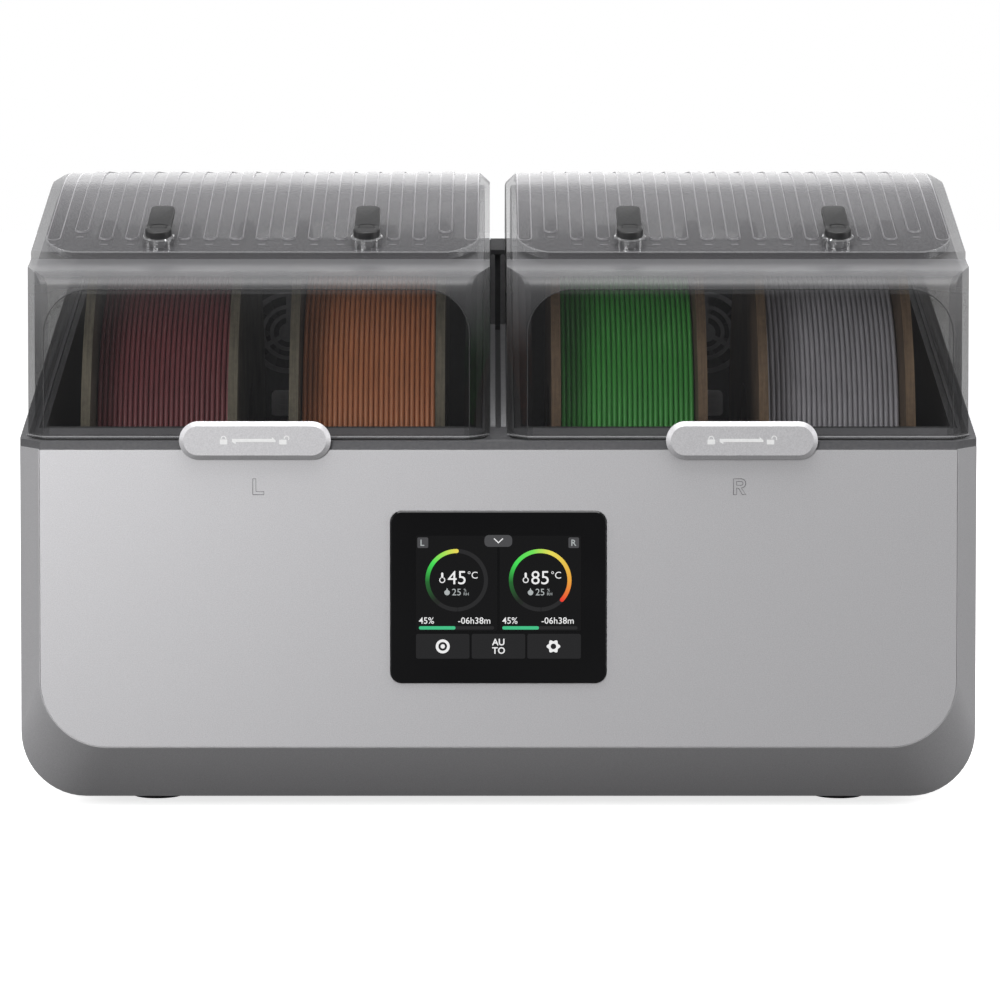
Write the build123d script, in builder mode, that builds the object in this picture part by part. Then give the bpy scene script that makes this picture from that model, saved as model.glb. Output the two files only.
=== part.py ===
from build123d import *
import os
from math import cos, radians, sin, tan

# Four-spool filament dryer box, millimetres. +X right, -Y front, +Z up. The origin is on the surface
# that the feet stand on, under the middle of the overall box. "Depth" below is the distance behind
# the front panel's face.

os.makedirs("parts", exist_ok=True)

# ---- overall sizes ----
BODY_HW = 201.0            # half width of the housing
BODY_DEPTH = 290.0         # front panel face to the back edge
FOOT_H = 4.2               # underside of the housing above the table
RIM_Z = 151.9              # joint between the silver base and the dark upper frame
FRONT_Y = -143.5           # front panel's face

# ---- base housing ----
WALL = 3.0                 # moulded wall
BODY_R = 27.4              # lower corner radius of the housing
BEVEL_W = 10.9             # width of the front bevel at either side
PANEL_HW = BODY_HW - BEVEL_W
PANEL_Z = 28.1             # lower edge of the front panel
PANEL_R = 28.0             # lower corner radius of the front panel
PANEL_GAP = 0.4            # parting line round the front panel
BEVEL_DEPTH = 22.0         # how far back the front bevel runs
BACK_BEVEL = 4.0           # depth of the bevel round the back edge
BACK_INSET = 3.0           # how far that bevel comes in
HATCH_HW = 165.0           # half width of the bottom plate
HATCH_FRONT = 35.0         # depth of the bottom plate's front edge
HATCH_BACK = 276.0         # depth of its back edge
HATCH_T = 2.5              # its thickness
LEDGE = 10.0               # width of the ledge that holds it
FIT = 0.3                  # gap between pieces that drop into each other

# ---- seam between the frame and the lids ----
RIM_TOP = 155.2            # top of the front rail
SEAL_H = 0.7               # squeezed height of the rubber seal
SEAM_START = 22.0          # depth at which the seam starts to climb
SEAM_TAN = tan(radians(19))
DECK_Z = 234.0             # deck behind the lids
RIDGE_DEPTH = 262.0        # the ridge that the lids close on ends here

# ---- drying chambers ----
CHAMBER_FRONT = 33.0       # depth of the chamber's front wall, outside
CHAMBER_BACK = 253.0       # depth of its rear wall, outside
CHAMBER_FLOOR = 37.0       # underside of its floor
CHAMBER_WALL = 2.5
SPINE_HW = 6.7             # half thickness of the spine between the chambers
SIDE_IN = 194.3            # inner face of the frame's side walls
TOWER_HW = 3.3             # half width of the tower between the lids
TOWER_FRONT = 150.0        # depth of the tower's front face
TOWER_Z = 238.5

# ---- lids ----
LID_X = 100.8              # centre of each lid
LID_HW = 97.2              # half width of each lid
LID_T = 2.5                # wall of the clear shell
WINDOW_DEPTH = 8.0         # window's lower edge
WINDOW_TOP_DEPTH = 10.0
WINDOW_TOP_Z = 217.0
VISOR_T = 3.0              # thickness of the ribbed visor
VISOR_HW = 92.7            # half width of the visor
VISOR_FRONT = 37.0         # depth of the visor's front edge
VISOR_BACK = 232.0
VISOR_CORNER_X = 13.0      # curved front corners of the visor, across
VISOR_CORNER_DEPTH = 19.0  # and back
VISOR_CORNER_R = 20.0
SLOPE_Z = 233.4            # top of the visor at its front edge
SLOPE_DEG = 21.1           # slope of the visor
SLOPE_END = 106.0          # depth at which the slope rounds over
CREST_Z = 268.5
LID_BACK = 262.0           # outer face of the lid's back wall
BACK_ROUND = 26.0          # radius over the back of the lid
CORNER_X = 8.5             # front corner chamfer of lid and frame, across
CORNER_DEPTH = 18.0        # and back
EDGE_CHAMFER = 4.5         # chamfer along the lid's top side edges
LIP_DEPTH = 3.5            # front of the lip round the lid's foot
LIP_T = 1.5
RIBS = 15                  # ribs on each visor
RIB_PITCH = 11.17
RIB_W = 5.6
RIB_H = 0.6                # how far a rib stands out of the visor
RIB_FRONT = 50.0           # depth of the ribs' front ends
RIB_BACK = 224.0

# ---- hinges ----
HINGE_DEPTH = 267.5
HINGE_Z = 240.0
KNUCKLE_R = 5.0
PIN_R = 2.0
PIN_RUN = 0.05             # running clearance of the lid on its pins
HINGE_OFFSET = 62.0        # hinge centre from the lid's centre
LID_KNUCKLE = 20.0         # length of a lid's knuckle
FRAME_KNUCKLE = 8.0        # length of a frame's knuckle
KNUCKLE_GAP = 0.4

# ---- latches ----
LATCH_W = 62.8
LATCH_H = 15.9
LATCH_Z = 155.6
LATCH_PROUD = 3.0          # face of the latch in front of the panel
LATCH_BEVEL = 1.9
LATCH_TRAVEL = 7.0         # to the left, from open to locked
STEM_SIDE = 3.5            # left edge of the stem, from the latch's centre
STEM_W = 9.5
STEM_Z = 149.5
STEM_H = 2.0
STEM_BACK = 12.0           # depth that the stem reaches
CATCH_FRONT = 8.0          # depth of the lid's catch
CATCH_T = 2.5
CATCH_SIDE = 14.0          # left edge of the catch, from the lid's centre
CATCH_W = 10.0
CATCH_LEG = 3.0
CATCH_FOOT_Z = 146.5
CATCH_FOOT_H = 2.5

# ---- outlets and plugs ----
PORT_DEPTH = 45.5          # where an outlet's axis meets the visor
PORT_R = 6.7               # clear collar
PORT_H = 4.2
PORT_BORE = 3.2
PORT_NUT_R = 7.6
PORT_NUT_H = 3.0
PORT_SHANK_R = 5.0
PLUG_HEAD_R = 5.6
PLUG_HEAD_H = 3.2
PLUG_STEM_R = 3.14
TAB_W = 10.4
TAB_T = 2.5
TAB_REACH = 27.0

# ---- spools ----
SPOOL_R = 100.0
SPOOL_W = 66.5
FLANGE_T = 4.0
HUB_R = 30.0
HUB_BORE = 26.5
WINDING_R = 78.0
SPOOL_X = (-144.5, -56.0, 56.0, 144.5)
SPOOL_DEPTH = 141.0        # depth of the spools' axis
SPOOL_Z = 147.0

# ---- rollers ----
ROLLER_R = 8.0
ROLLER_L = 64.0
ROLLER_ANGLE = 35.0        # from straight below the spool's axis
ROLLER_GAP = 0.3           # between roller and flange rim
AXLE_R = 3.0
AXLE_RUN = 0.05
EAR_T = 3.0
EAR_GAP = 0.5
EAR_TOP = 4.2              # ear above the axle's centre
CRADLE_T = 3.0
CRADLE_HD = 9.0            # half depth of a cradle's bar
CRADLE_HW = 8.0            # half width of the strips that join two bars

# ---- display ----
GLASS_W = 89.7
GLASS_H = 71.6
GLASS_R = 4.8
GLASS_T = 2.0
GLASS_PROUD = 0.8
GLASS_Z = 90.5
LCD_W = 76.0
LCD_H = 60.0
LCD_T = 5.0
BOARD_W = 150.0
BOARD_H = 84.0
BOARD_DEPTH = 12.0
BOARD_T = 1.6

# ---- fans, heaters and power ----
FAN_Z = 193.0
FAN_SIZE = 40.0
FAN_T = 10.5
FAN_BORE = 18.9
ROTOR_R = 18.2
ROTOR_HUB = 8.5
FAN_PIN_R = 1.5
GRILLE_R = 19.6
SENSOR_DROP = 34.0         # humidity sensor below the fan's centre
HEATER_W = 80.0
HEATER_H = 44.0
HEATER_T = 22.0
HEATER_Z = 118.0
PSU = (150.0, 98.0, 26.0)
INLET_X = 150.0
INLET_Z = 42.0
ROCKER_X = 118.0           # the switch beside the inlet
BACK_PANEL_T = 3.0
BACK_PANEL_INSET = 1.5     # its outer face in front of the housing's back edge
BACK_PANEL_DEPTH = BODY_DEPTH - BACK_PANEL_T - BACK_PANEL_INSET
BACK_PANEL_TOP = 230.6
FAN_VENT_Z = 140.0         # middle of the slots that the fans draw from, below the fans
PSU_VENT_Z = 84.0          # middle of the slots behind the power supply
VENT_PITCH = 6.5
VENT_W = 3.2               # height of one vent slot

# ---- screws and feet ----
SCREW_R = 1.45
SCREW_HOLE = 1.7
SCREW_BITE = 0.02          # bores are this much wider than the screws in them
HEAD_R = 2.9
HEAD_H = 1.4
BOARD_BITE = 7.0           # length of a board screw inside its post
POST_R = 3.5               # posts that the boards stand on
POST_H = 5.0               # height of the driver board's posts
FOOT_R = 11.0
PAD_R = 13.0
PAD_H = 1.0
FOOT_X = 146.0
FOOT_DEPTHS = (52.0, 252.0)

SIDES = ((-1, "left"), (1, "right"))


def y_at(depth):
    return FRONT_Y + depth


def facing(depth):
    """Upright plane parallel to the front panel; extrude(-t) goes back into the object."""
    return Plane.XZ.offset(-y_at(depth))


def seam(depth):
    """Height of the lids' lower edge at a depth."""
    return RIM_TOP + 0.1 + SEAL_H + max(0.0, depth - SEAM_START) * SEAM_TAN


def frame_top(depth):
    return seam(depth) - SEAL_H - 0.1


def housing_outline(half, low, high, radius):
    """Rectangle with both lower corners rounded, in the active sketch."""
    with BuildLine() as edge:
        Polyline((half, low + radius), (half, high), (-half, high), (-half, low + radius))
        RadiusArc((-half, low + radius), (-half + radius, low), -radius)
        Line((-half + radius, low), (half - radius, low))
        RadiusArc((half - radius, low), (half, low + radius), -radius)
    make_face(edge.line.edges())


def plan_outline(centre, half, front, inset, run, back, mode=Mode.ADD, corner_r=0.0):
    """Plan of a piece, in the active sketch. Its front corners are cut off, or curved by corner_r."""
    left, right = centre - half, centre + half
    with BuildLine() as edge:
        Line((left + inset, y_at(front)), (right - inset, y_at(front)))
        if corner_r:
            RadiusArc((right - inset, y_at(front)), (right, y_at(front + run)), -corner_r)
            RadiusArc((left, y_at(front + run)), (left + inset, y_at(front)), -corner_r)
        else:
            Line((right - inset, y_at(front)), (right, y_at(front + run)))
            Line((left, y_at(front + run)), (left + inset, y_at(front)))
        Polyline((right, y_at(front + run)), (right, y_at(back)), (left, y_at(back)),
                 (left, y_at(front + run)))
    make_face(edge.line.edges(), mode=mode)


def block(x0, x1, d0, d1, z0, z1, mode=Mode.ADD):
    """Box between two depths, in the active part."""
    with BuildSketch(Plane.XY.offset(z0)) as base:
        with Locations(((x0 + x1) / 2, y_at((d0 + d1) / 2))):
            Rectangle(x1 - x0, d1 - d0)
    extrude(base.sketch, amount=z1 - z0, mode=mode)


def finish(piece, name):
    piece.part.label = name
    export_step(piece.part, f"parts/{name}.step")


# ======== base housing ========
back_screws = [(s * 189.0, z) for s in (-1, 1) for z in (46.0, 132.0, 216.0)]
back_post = 6.0
bottom_screws = [(s * (HATCH_HW - LEDGE / 2), d) for s in (-1, 1) for d in (42.0, 155.0, 269.0)]

with BuildPart() as base_shell:
    with BuildSketch(facing(BEVEL_DEPTH)):
        housing_outline(BODY_HW, FOOT_H, RIM_Z, BODY_R)
    extrude(amount=-(BODY_DEPTH - BACK_BEVEL - BEVEL_DEPTH))
    with BuildSketch(facing(0)):
        housing_outline(PANEL_HW + PANEL_GAP, PANEL_Z - PANEL_GAP, RIM_Z, PANEL_R)
    with BuildSketch(facing(BEVEL_DEPTH)):
        housing_outline(BODY_HW, FOOT_H, RIM_Z, BODY_R)
    loft()
    with BuildSketch(facing(BODY_DEPTH - BACK_BEVEL)):
        housing_outline(BODY_HW, FOOT_H, RIM_Z, BODY_R)
    with BuildSketch(facing(BODY_DEPTH)):
        housing_outline(BODY_HW - BACK_INSET, FOOT_H + BACK_INSET, RIM_Z, BODY_R - BACK_INSET)
    loft()
    # hollow: a mouth for the front panel, a ledge behind it, then the room inside
    with BuildSketch(facing(-1)):
        housing_outline(PANEL_HW + PANEL_GAP - 0.2, PANEL_Z - PANEL_GAP + 0.2, RIM_Z + 1, PANEL_R)
    extrude(amount=-(WALL + 1.05), mode=Mode.SUBTRACT)
    with BuildSketch(facing(0)):
        housing_outline(PANEL_HW - WALL, PANEL_Z + WALL, RIM_Z + 1, PANEL_R - WALL)
    extrude(amount=-BEVEL_DEPTH, mode=Mode.SUBTRACT)
    with BuildSketch(facing(BEVEL_DEPTH - 1)):
        housing_outline(BODY_HW - WALL, FOOT_H + WALL, RIM_Z + 1, BODY_R - WALL)
    extrude(amount=-(BODY_DEPTH - BEVEL_DEPTH + 2), mode=Mode.SUBTRACT)
    # ledge for the bottom plate, and the opening
    block(-HATCH_HW - 5, HATCH_HW + 5, HATCH_FRONT - 5, HATCH_BACK + 5, FOOT_H + HATCH_T + 0.2, 10)
    block(-HATCH_HW - FIT, HATCH_HW + FIT, HATCH_FRONT - FIT, HATCH_BACK + FIT,
          FOOT_H - 1, FOOT_H + HATCH_T + 0.2, Mode.SUBTRACT)
    block(-HATCH_HW + LEDGE, HATCH_HW - LEDGE, HATCH_FRONT + LEDGE, HATCH_BACK - LEDGE,
          FOOT_H, 12, Mode.SUBTRACT)
    # posts that the back panel is screwed to
    for x, z in back_screws:
        if z < RIM_Z:
            edge = BODY_HW - WALL + 0.5
            block(min(x - back_post, x + back_post) if x > 0 else -edge,
                  edge if x > 0 else x + back_post,
                  BACK_PANEL_DEPTH - 16, BACK_PANEL_DEPTH, z - back_post, z + back_post)
            with BuildSketch(facing(BACK_PANEL_DEPTH)):
                with Locations((x, z)):
                    Circle(SCREW_R + SCREW_BITE)
            extrude(amount=11, mode=Mode.SUBTRACT)
    with BuildSketch(Plane.XY.offset(FOOT_H)):
        with Locations(*[(x, y_at(d)) for x, d in bottom_screws]):
            Circle(SCREW_R + SCREW_BITE)
    extrude(amount=8, mode=Mode.SUBTRACT)
finish(base_shell, "base_shell")

# ======== front panel, with the display's seat, latch slots and board posts ========
board_posts = [(x, GLASS_Z + z) for x in (-68.0, 68.0) for z in (-35.0, 35.0)]
with BuildPart() as front_panel:
    with BuildSketch(facing(0)):
        housing_outline(PANEL_HW, PANEL_Z, RIM_Z - 0.2, PANEL_R - PANEL_GAP)
    extrude(amount=-WALL)
    with BuildSketch(facing(0)):
        with Locations((0, GLASS_Z)):
            RectangleRounded(GLASS_W + 0.3, GLASS_H + 0.3, GLASS_R + 0.15)
    extrude(amount=-(GLASS_T - GLASS_PROUD), mode=Mode.SUBTRACT)
    with BuildSketch(facing(0)):
        with Locations((0, GLASS_Z)):
            Rectangle(LCD_W + 0.6, LCD_H + 0.6)
    extrude(amount=-WALL, mode=Mode.SUBTRACT)
    for side, _ in SIDES:
        x = side * LID_X - STEM_SIDE
        block(x - LATCH_TRAVEL - 0.5, x + STEM_W + 0.5, -1, WALL + 1,
              STEM_Z - 0.3, RIM_Z + 1, Mode.SUBTRACT)
    with BuildSketch(facing(WALL)):
        with Locations(*board_posts):
            Circle(POST_R)
            Circle(SCREW_R + SCREW_BITE, mode=Mode.SUBTRACT)
    extrude(amount=-(BOARD_DEPTH - WALL))
finish(front_panel, "front_panel")

# ======== bottom plate, feet and their screws ========
psu_x = -78.0
psu_depth = 140.0
with BuildPart() as bottom_plate:
    block(-HATCH_HW, HATCH_HW, HATCH_FRONT, HATCH_BACK, FOOT_H, FOOT_H + HATCH_T)
    with BuildSketch(Plane.XY.offset(FOOT_H - PAD_H)):
        with Locations(*[(s * FOOT_X, y_at(d)) for s, _ in SIDES for d in FOOT_DEPTHS]):
            Circle(PAD_R)
    extrude(amount=PAD_H)
    for x, d in bottom_screws:
        with Locations(Location((x, y_at(d), FOOT_H), (180, 0, 0))):
            CounterBoreHole(SCREW_HOLE, HEAD_R + 0.2, HEAD_H + 0.1, depth=HATCH_T)
    with BuildSketch(Plane.XY.offset(FOOT_H)):
        with Locations((psu_x, y_at(psu_depth)), (-psu_x, y_at(psu_depth))):
            with GridLocations(9, 1, 11, 1):
                SlotOverall(60, 4, rotation=90)
    extrude(amount=HATCH_T, mode=Mode.SUBTRACT)
finish(bottom_plate, "bottom_plate")

with BuildPart() as rubber_feet:
    with BuildSketch(Plane.XY):
        with Locations(*[(s * FOOT_X, y_at(d)) for s, _ in SIDES for d in FOOT_DEPTHS]):
            Circle(FOOT_R)
    extrude(amount=FOOT_H - PAD_H)
    chamfer(rubber_feet.edges().filter_by(GeomType.CIRCLE).group_by(Axis.Z)[0], 0.8)
finish(rubber_feet, "rubber_feet")

with BuildPart() as bottom_plate_screws:
    with BuildSketch(Plane.XY.offset(FOOT_H + 0.1)):
        with Locations(*[(x, y_at(d)) for x, d in bottom_screws]):
            Circle(HEAD_R)
    extrude(amount=HEAD_H)
    with BuildSketch(Plane.XY.offset(FOOT_H + 0.1)):
        with Locations(*[(x, y_at(d)) for x, d in bottom_screws]):
            Circle(SCREW_R)
    extrude(amount=7)
    with BuildSketch(Plane.XY.offset(FOOT_H + 0.1)):
        with Locations(*[(x, y_at(d)) for x, d in bottom_screws]):
            RegularPolygon(1.3, 6)
    extrude(amount=0.8, mode=Mode.SUBTRACT)
finish(bottom_plate_screws, "bottom_plate_screws")

# ======== upper frame: front rail, side walls, spine, tower, deck and hinge posts ========
hinge_centres = [s * LID_X + t * HINGE_OFFSET for s, _ in SIDES for t in (-1, 1)]
post_span = LID_KNUCKLE / 2 + KNUCKLE_GAP + FRAME_KNUCKLE
side_room = BODY_HW - WALL - 0.2
with BuildPart() as upper_frame:
    with BuildSketch(Plane.YZ.offset(-BODY_HW)):
        with BuildLine():
            Polyline(
                (y_at(0.8), RIM_Z), (y_at(0.8), RIM_TOP), (y_at(SEAM_START), RIM_TOP),
                (y_at(RIDGE_DEPTH), frame_top(RIDGE_DEPTH)), (y_at(RIDGE_DEPTH), DECK_Z),
                (y_at(BODY_DEPTH), DECK_Z), (y_at(BODY_DEPTH), RIM_Z), close=True,
            )
        make_face()
    extrude(amount=2 * BODY_HW)
    with BuildSketch(Plane.XY.offset(RIM_Z - 1)):
        plan_outline(0, BODY_HW, 0.8, BODY_HW - PANEL_HW, BEVEL_DEPTH, BODY_DEPTH - BACK_BEVEL)
        with BuildLine():
            Polyline(
                (-BODY_HW, y_at(BODY_DEPTH - BACK_BEVEL)), (BODY_HW, y_at(BODY_DEPTH - BACK_BEVEL)),
                (BODY_HW - BACK_INSET, y_at(BODY_DEPTH)), (-BODY_HW + BACK_INSET, y_at(BODY_DEPTH)),
                close=True,
            )
        make_face()
    extrude(amount=150, mode=Mode.INTERSECT)
    for side, _ in SIDES:
        low, high = sorted((side * SPINE_HW, side * SIDE_IN))
        block(low, high, CHAMBER_FRONT - FIT, CHAMBER_BACK + FIT, RIM_Z - 1, 250, Mode.SUBTRACT)
        x = side * LID_X
        block(x - CATCH_SIDE - 0.5, x - STEM_SIDE, CATCH_FRONT - 4.2, CATCH_FRONT + CATCH_T + 0.7,
              RIM_Z - 1, RIM_TOP + 1, Mode.SUBTRACT)
    block(-side_room, side_room, CHAMBER_BACK + FIT - 0.1, BODY_DEPTH + 1, RIM_Z - 1, DECK_Z - WALL,
          Mode.SUBTRACT)
    # tower between the lids, with a groove down its face and along the spine
    with BuildSketch(Plane.YZ.offset(-TOWER_HW)):
        with BuildLine():
            Polyline(
                (y_at(TOWER_FRONT), frame_top(TOWER_FRONT) - 5), (y_at(TOWER_FRONT), TOWER_Z - 5),
                (y_at(TOWER_FRONT + 5), TOWER_Z), (y_at(RIDGE_DEPTH), TOWER_Z),
                (y_at(RIDGE_DEPTH), frame_top(RIDGE_DEPTH) - 5), close=True,
            )
        make_face()
    extrude(amount=2 * TOWER_HW)
    block(-1.1, 1.1, TOWER_FRONT - 1, TOWER_FRONT + 1.5, frame_top(TOWER_FRONT), TOWER_Z - 7,
          Mode.SUBTRACT)
    with BuildSketch(Plane.YZ.offset(-1.1)):
        with BuildLine():
            Polyline(
                (y_at(CHAMBER_FRONT), frame_top(CHAMBER_FRONT) - 2),
                (y_at(CHAMBER_FRONT), frame_top(CHAMBER_FRONT) + 1),
                (y_at(TOWER_FRONT), frame_top(TOWER_FRONT) + 1),
                (y_at(TOWER_FRONT), frame_top(TOWER_FRONT) - 2), close=True,
            )
        make_face()
    extrude(amount=2.2, mode=Mode.SUBTRACT)
    # hinge posts
    for centre in hinge_centres:
        for t in (-1, 1):
            middle = centre + t * (LID_KNUCKLE / 2 + KNUCKLE_GAP + FRAME_KNUCKLE / 2)
            block(middle - FRAME_KNUCKLE / 2, middle + FRAME_KNUCKLE / 2,
                  HINGE_DEPTH - KNUCKLE_R + 0.3, HINGE_DEPTH + KNUCKLE_R - 0.3, DECK_Z - 1, HINGE_Z - 1)
            with BuildSketch(Plane.YZ.offset(middle - FRAME_KNUCKLE / 2)):
                with Locations((y_at(HINGE_DEPTH), HINGE_Z)):
                    Circle(KNUCKLE_R)
            extrude(amount=FRAME_KNUCKLE)
        with BuildSketch(Plane.YZ.offset(centre - post_span)):
            with Locations((y_at(HINGE_DEPTH), HINGE_Z)):
                Circle(PIN_R + 0.02)
        extrude(amount=2 * post_span, mode=Mode.SUBTRACT)
    for x, z in back_screws:
        if z > RIM_Z:
            edge = side_room + 0.5
            block(x - back_post if x > 0 else -edge, edge if x > 0 else x + back_post,
                  BACK_PANEL_DEPTH - 16, BACK_PANEL_DEPTH, z - back_post, z + back_post)
            with BuildSketch(facing(BACK_PANEL_DEPTH)):
                with Locations((x, z)):
                    Circle(SCREW_R + SCREW_BITE)
            extrude(amount=11, mode=Mode.SUBTRACT)
finish(upper_frame, "upper_frame")

with BuildPart() as hinge_pins:
    for centre in hinge_centres:
        with BuildSketch(Plane.YZ.offset(centre - post_span)):
            with Locations((y_at(HINGE_DEPTH), HINGE_Z)):
                Circle(PIN_R)
        extrude(amount=2 * post_span)
finish(hinge_pins, "hinge_pins")

# ======== fan grilles in the chambers' rear walls, and the fans behind them ========
fan_front = CHAMBER_BACK + 0.1
with BuildPart() as fan_grilles:
    with BuildSketch(facing(CHAMBER_BACK - CHAMBER_WALL)):
        for side, _ in SIDES:
            with Locations((side * LID_X, FAN_Z)):
                for outer, inner in ((GRILLE_R, GRILLE_R - 2.2), (13.2, 11.4), (9.0, 7.2), (4.6, 0)):
                    with BuildSketch(mode=Mode.PRIVATE) as ring:
                        Circle(outer)
                        if inner:
                            Circle(inner, mode=Mode.SUBTRACT)
                    add(ring.sketch)
                with PolarLocations(GRILLE_R / 2 - 1, 3, 90):
                    Rectangle(GRILLE_R - 2, 2.2)
    extrude(amount=-CHAMBER_WALL)
finish(fan_grilles, "fan_grilles")

with BuildPart() as fan_frames:
    with BuildSketch(facing(fan_front)):
        for side, _ in SIDES:
            with Locations((side * LID_X, FAN_Z)):
                RectangleRounded(FAN_SIZE, FAN_SIZE, 3)
                Circle(FAN_BORE, mode=Mode.SUBTRACT)
                with GridLocations(32, 32, 2, 2):
                    Circle(SCREW_HOLE, mode=Mode.SUBTRACT)
    extrude(amount=-FAN_T)
    with BuildSketch(facing(fan_front + FAN_T - 1.5)):
        for side, _ in SIDES:
            with Locations((side * LID_X, FAN_Z)):
                Circle(ROTOR_HUB)
                with PolarLocations(FAN_BORE / 2, 3, 30):
                    Rectangle(FAN_BORE + 1, 2.4)
    extrude(amount=-1.5)
    with BuildSketch(facing(fan_front + 3)):
        with Locations(*[(side * LID_X, FAN_Z) for side, _ in SIDES]):
            Circle(FAN_PIN_R)
    extrude(amount=-(FAN_T - 3 - 1))
finish(fan_frames, "fan_frames")

# ======== drying chambers, one under each lid ========
for side, name in SIDES:
    low, high = sorted((side * (SPINE_HW + FIT), side * (SIDE_IN - FIT)))
    with BuildPart() as chamber:
        with BuildSketch(Plane.YZ.offset(low)):
            with BuildLine():
                Polyline(
                    (y_at(CHAMBER_FRONT), CHAMBER_FLOOR),
                    (y_at(CHAMBER_FRONT), seam(CHAMBER_FRONT) - 1.2),
                    (y_at(CHAMBER_BACK), seam(CHAMBER_BACK) - 1.2),
                    (y_at(CHAMBER_BACK), CHAMBER_FLOOR), close=True,
                )
            make_face()
        extrude(amount=high - low)
        fillet(chamber.edges().filter_by(Axis.X).group_by(Axis.Z)[0], 8)
        with BuildSketch(Plane.YZ.offset(low + CHAMBER_WALL)):
            with BuildLine():
                FilletPolyline(
                    (y_at(CHAMBER_FRONT + CHAMBER_WALL), 260),
                    (y_at(CHAMBER_FRONT + CHAMBER_WALL), CHAMBER_FLOOR + CHAMBER_WALL),
                    (y_at(CHAMBER_BACK - CHAMBER_WALL), CHAMBER_FLOOR + CHAMBER_WALL),
                    (y_at(CHAMBER_BACK - CHAMBER_WALL), 260), radius=8 - CHAMBER_WALL,
                )
                Line((y_at(CHAMBER_BACK - CHAMBER_WALL), 260),
                     (y_at(CHAMBER_FRONT + CHAMBER_WALL), 260))
            make_face()
        extrude(amount=high - low - 2 * CHAMBER_WALL, mode=Mode.SUBTRACT)
        # fan opening and warm air slots through the rear wall
        with BuildSketch(facing(CHAMBER_BACK - CHAMBER_WALL)):
            with Locations((side * LID_X, FAN_Z)):
                Circle(GRILLE_R + 0.1)
            with Locations((side * LID_X, HEATER_Z)):
                with GridLocations(1, 8, 1, 5):
                    SlotOverall(HEATER_W - 12, 4)
        extrude(amount=-CHAMBER_WALL, mode=Mode.SUBTRACT)
    finish(chamber, f"chamber_{name}")

    # rubber seal on the rim of the chamber
    with BuildPart() as seal:
        with BuildSketch(Plane.YZ.offset(side * LID_X - LID_HW)):
            with BuildLine():
                Polyline(
                    (y_at(WINDOW_DEPTH - 1), frame_top(0)), (y_at(WINDOW_DEPTH - 1), frame_top(0) + SEAL_H),
                    (y_at(SEAM_START), frame_top(0) + SEAL_H),
                    (y_at(LID_BACK), frame_top(LID_BACK) + SEAL_H), (y_at(LID_BACK), frame_top(LID_BACK)),
                    (y_at(SEAM_START), frame_top(0)), close=True,
                )
            make_face()
        extrude(amount=2 * LID_HW)
        with BuildSketch(Plane.XY.offset(RIM_Z)):
            plan_outline(side * LID_X, LID_HW - 0.2, WINDOW_DEPTH + 0.1, CORNER_X, CORNER_DEPTH,
                         LID_BACK - 0.3)
            plan_outline(side * LID_X, LID_HW - 2.2, WINDOW_DEPTH + 2.1, CORNER_X, CORNER_DEPTH,
                         LID_BACK - 2.3, Mode.SUBTRACT)
        extrude(amount=120, mode=Mode.INTERSECT)
        x = side * LID_X
        block(x - CATCH_SIDE - 0.5, x - STEM_SIDE, 0, CATCH_FRONT + CATCH_T + 0.7,
              RIM_Z, RIM_TOP + 2, Mode.SUBTRACT)
    finish(seal, f"rim_seal_{name}")

    with BuildPart() as rotor:
        with BuildSketch(facing(fan_front + 1.0)):
            with Locations((side * LID_X, FAN_Z)):
                Circle(ROTOR_HUB)
        extrude(amount=-7.0)
        with BuildSketch(facing(fan_front + 2.4)):
            with Locations((side * LID_X, FAN_Z)):
                with PolarLocations((ROTOR_HUB + ROTOR_R) / 2 - 0.4, 7):
                    Rectangle(ROTOR_R - ROTOR_HUB - 0.4, 5.6)
        extrude(amount=-1.6)
        with BuildSketch(facing(fan_front + 3.8)):
            with Locations((side * LID_X, FAN_Z)):
                with PolarLocations((ROTOR_HUB + ROTOR_R) / 2 - 0.4, 7, 9):
                    Rectangle(ROTOR_R - ROTOR_HUB - 0.4, 5.0)
        extrude(amount=-1.6)
        with BuildSketch(facing(fan_front + 2.5)):
            with Locations((side * LID_X, FAN_Z)):
                Circle(FAN_PIN_R + AXLE_RUN)
        extrude(amount=-8, mode=Mode.SUBTRACT)
    finish(rotor, f"fan_rotor_{name}")

    # finned heater block behind the warm air slots
    with BuildPart() as heater:
        with BuildSketch(facing(CHAMBER_BACK + 0.1)):
            with Locations((side * LID_X, HEATER_Z)):
                Rectangle(HEATER_W, HEATER_H)
                Rectangle(HEATER_W - 8, HEATER_H - 8, mode=Mode.SUBTRACT)
                Rectangle(HEATER_W, 5)
                with GridLocations(6, 1, 12, 1):
                    Rectangle(1, HEATER_H - 4)
        extrude(amount=-HEATER_T)
    finish(heater, f"heater_{name}")

# ======== humidity sensors on the chambers' rear walls ========
with BuildPart() as humidity_sensors:
    for side, _ in SIDES:
        with BuildSketch(facing(CHAMBER_BACK - CHAMBER_WALL)):
            with Locations((side * LID_X, FAN_Z - SENSOR_DROP)):
                RectangleRounded(16, 12, 2)
        extrude(amount=3.2)
        with BuildSketch(facing(CHAMBER_BACK - CHAMBER_WALL - 3.2)):
            with Locations((side * LID_X, FAN_Z - SENSOR_DROP)):
                with GridLocations(1, 3, 1, 3):
                    SlotOverall(9, 1.4)
        extrude(amount=-1.2, mode=Mode.SUBTRACT)
finish(humidity_sensors, "humidity_sensors")

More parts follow.
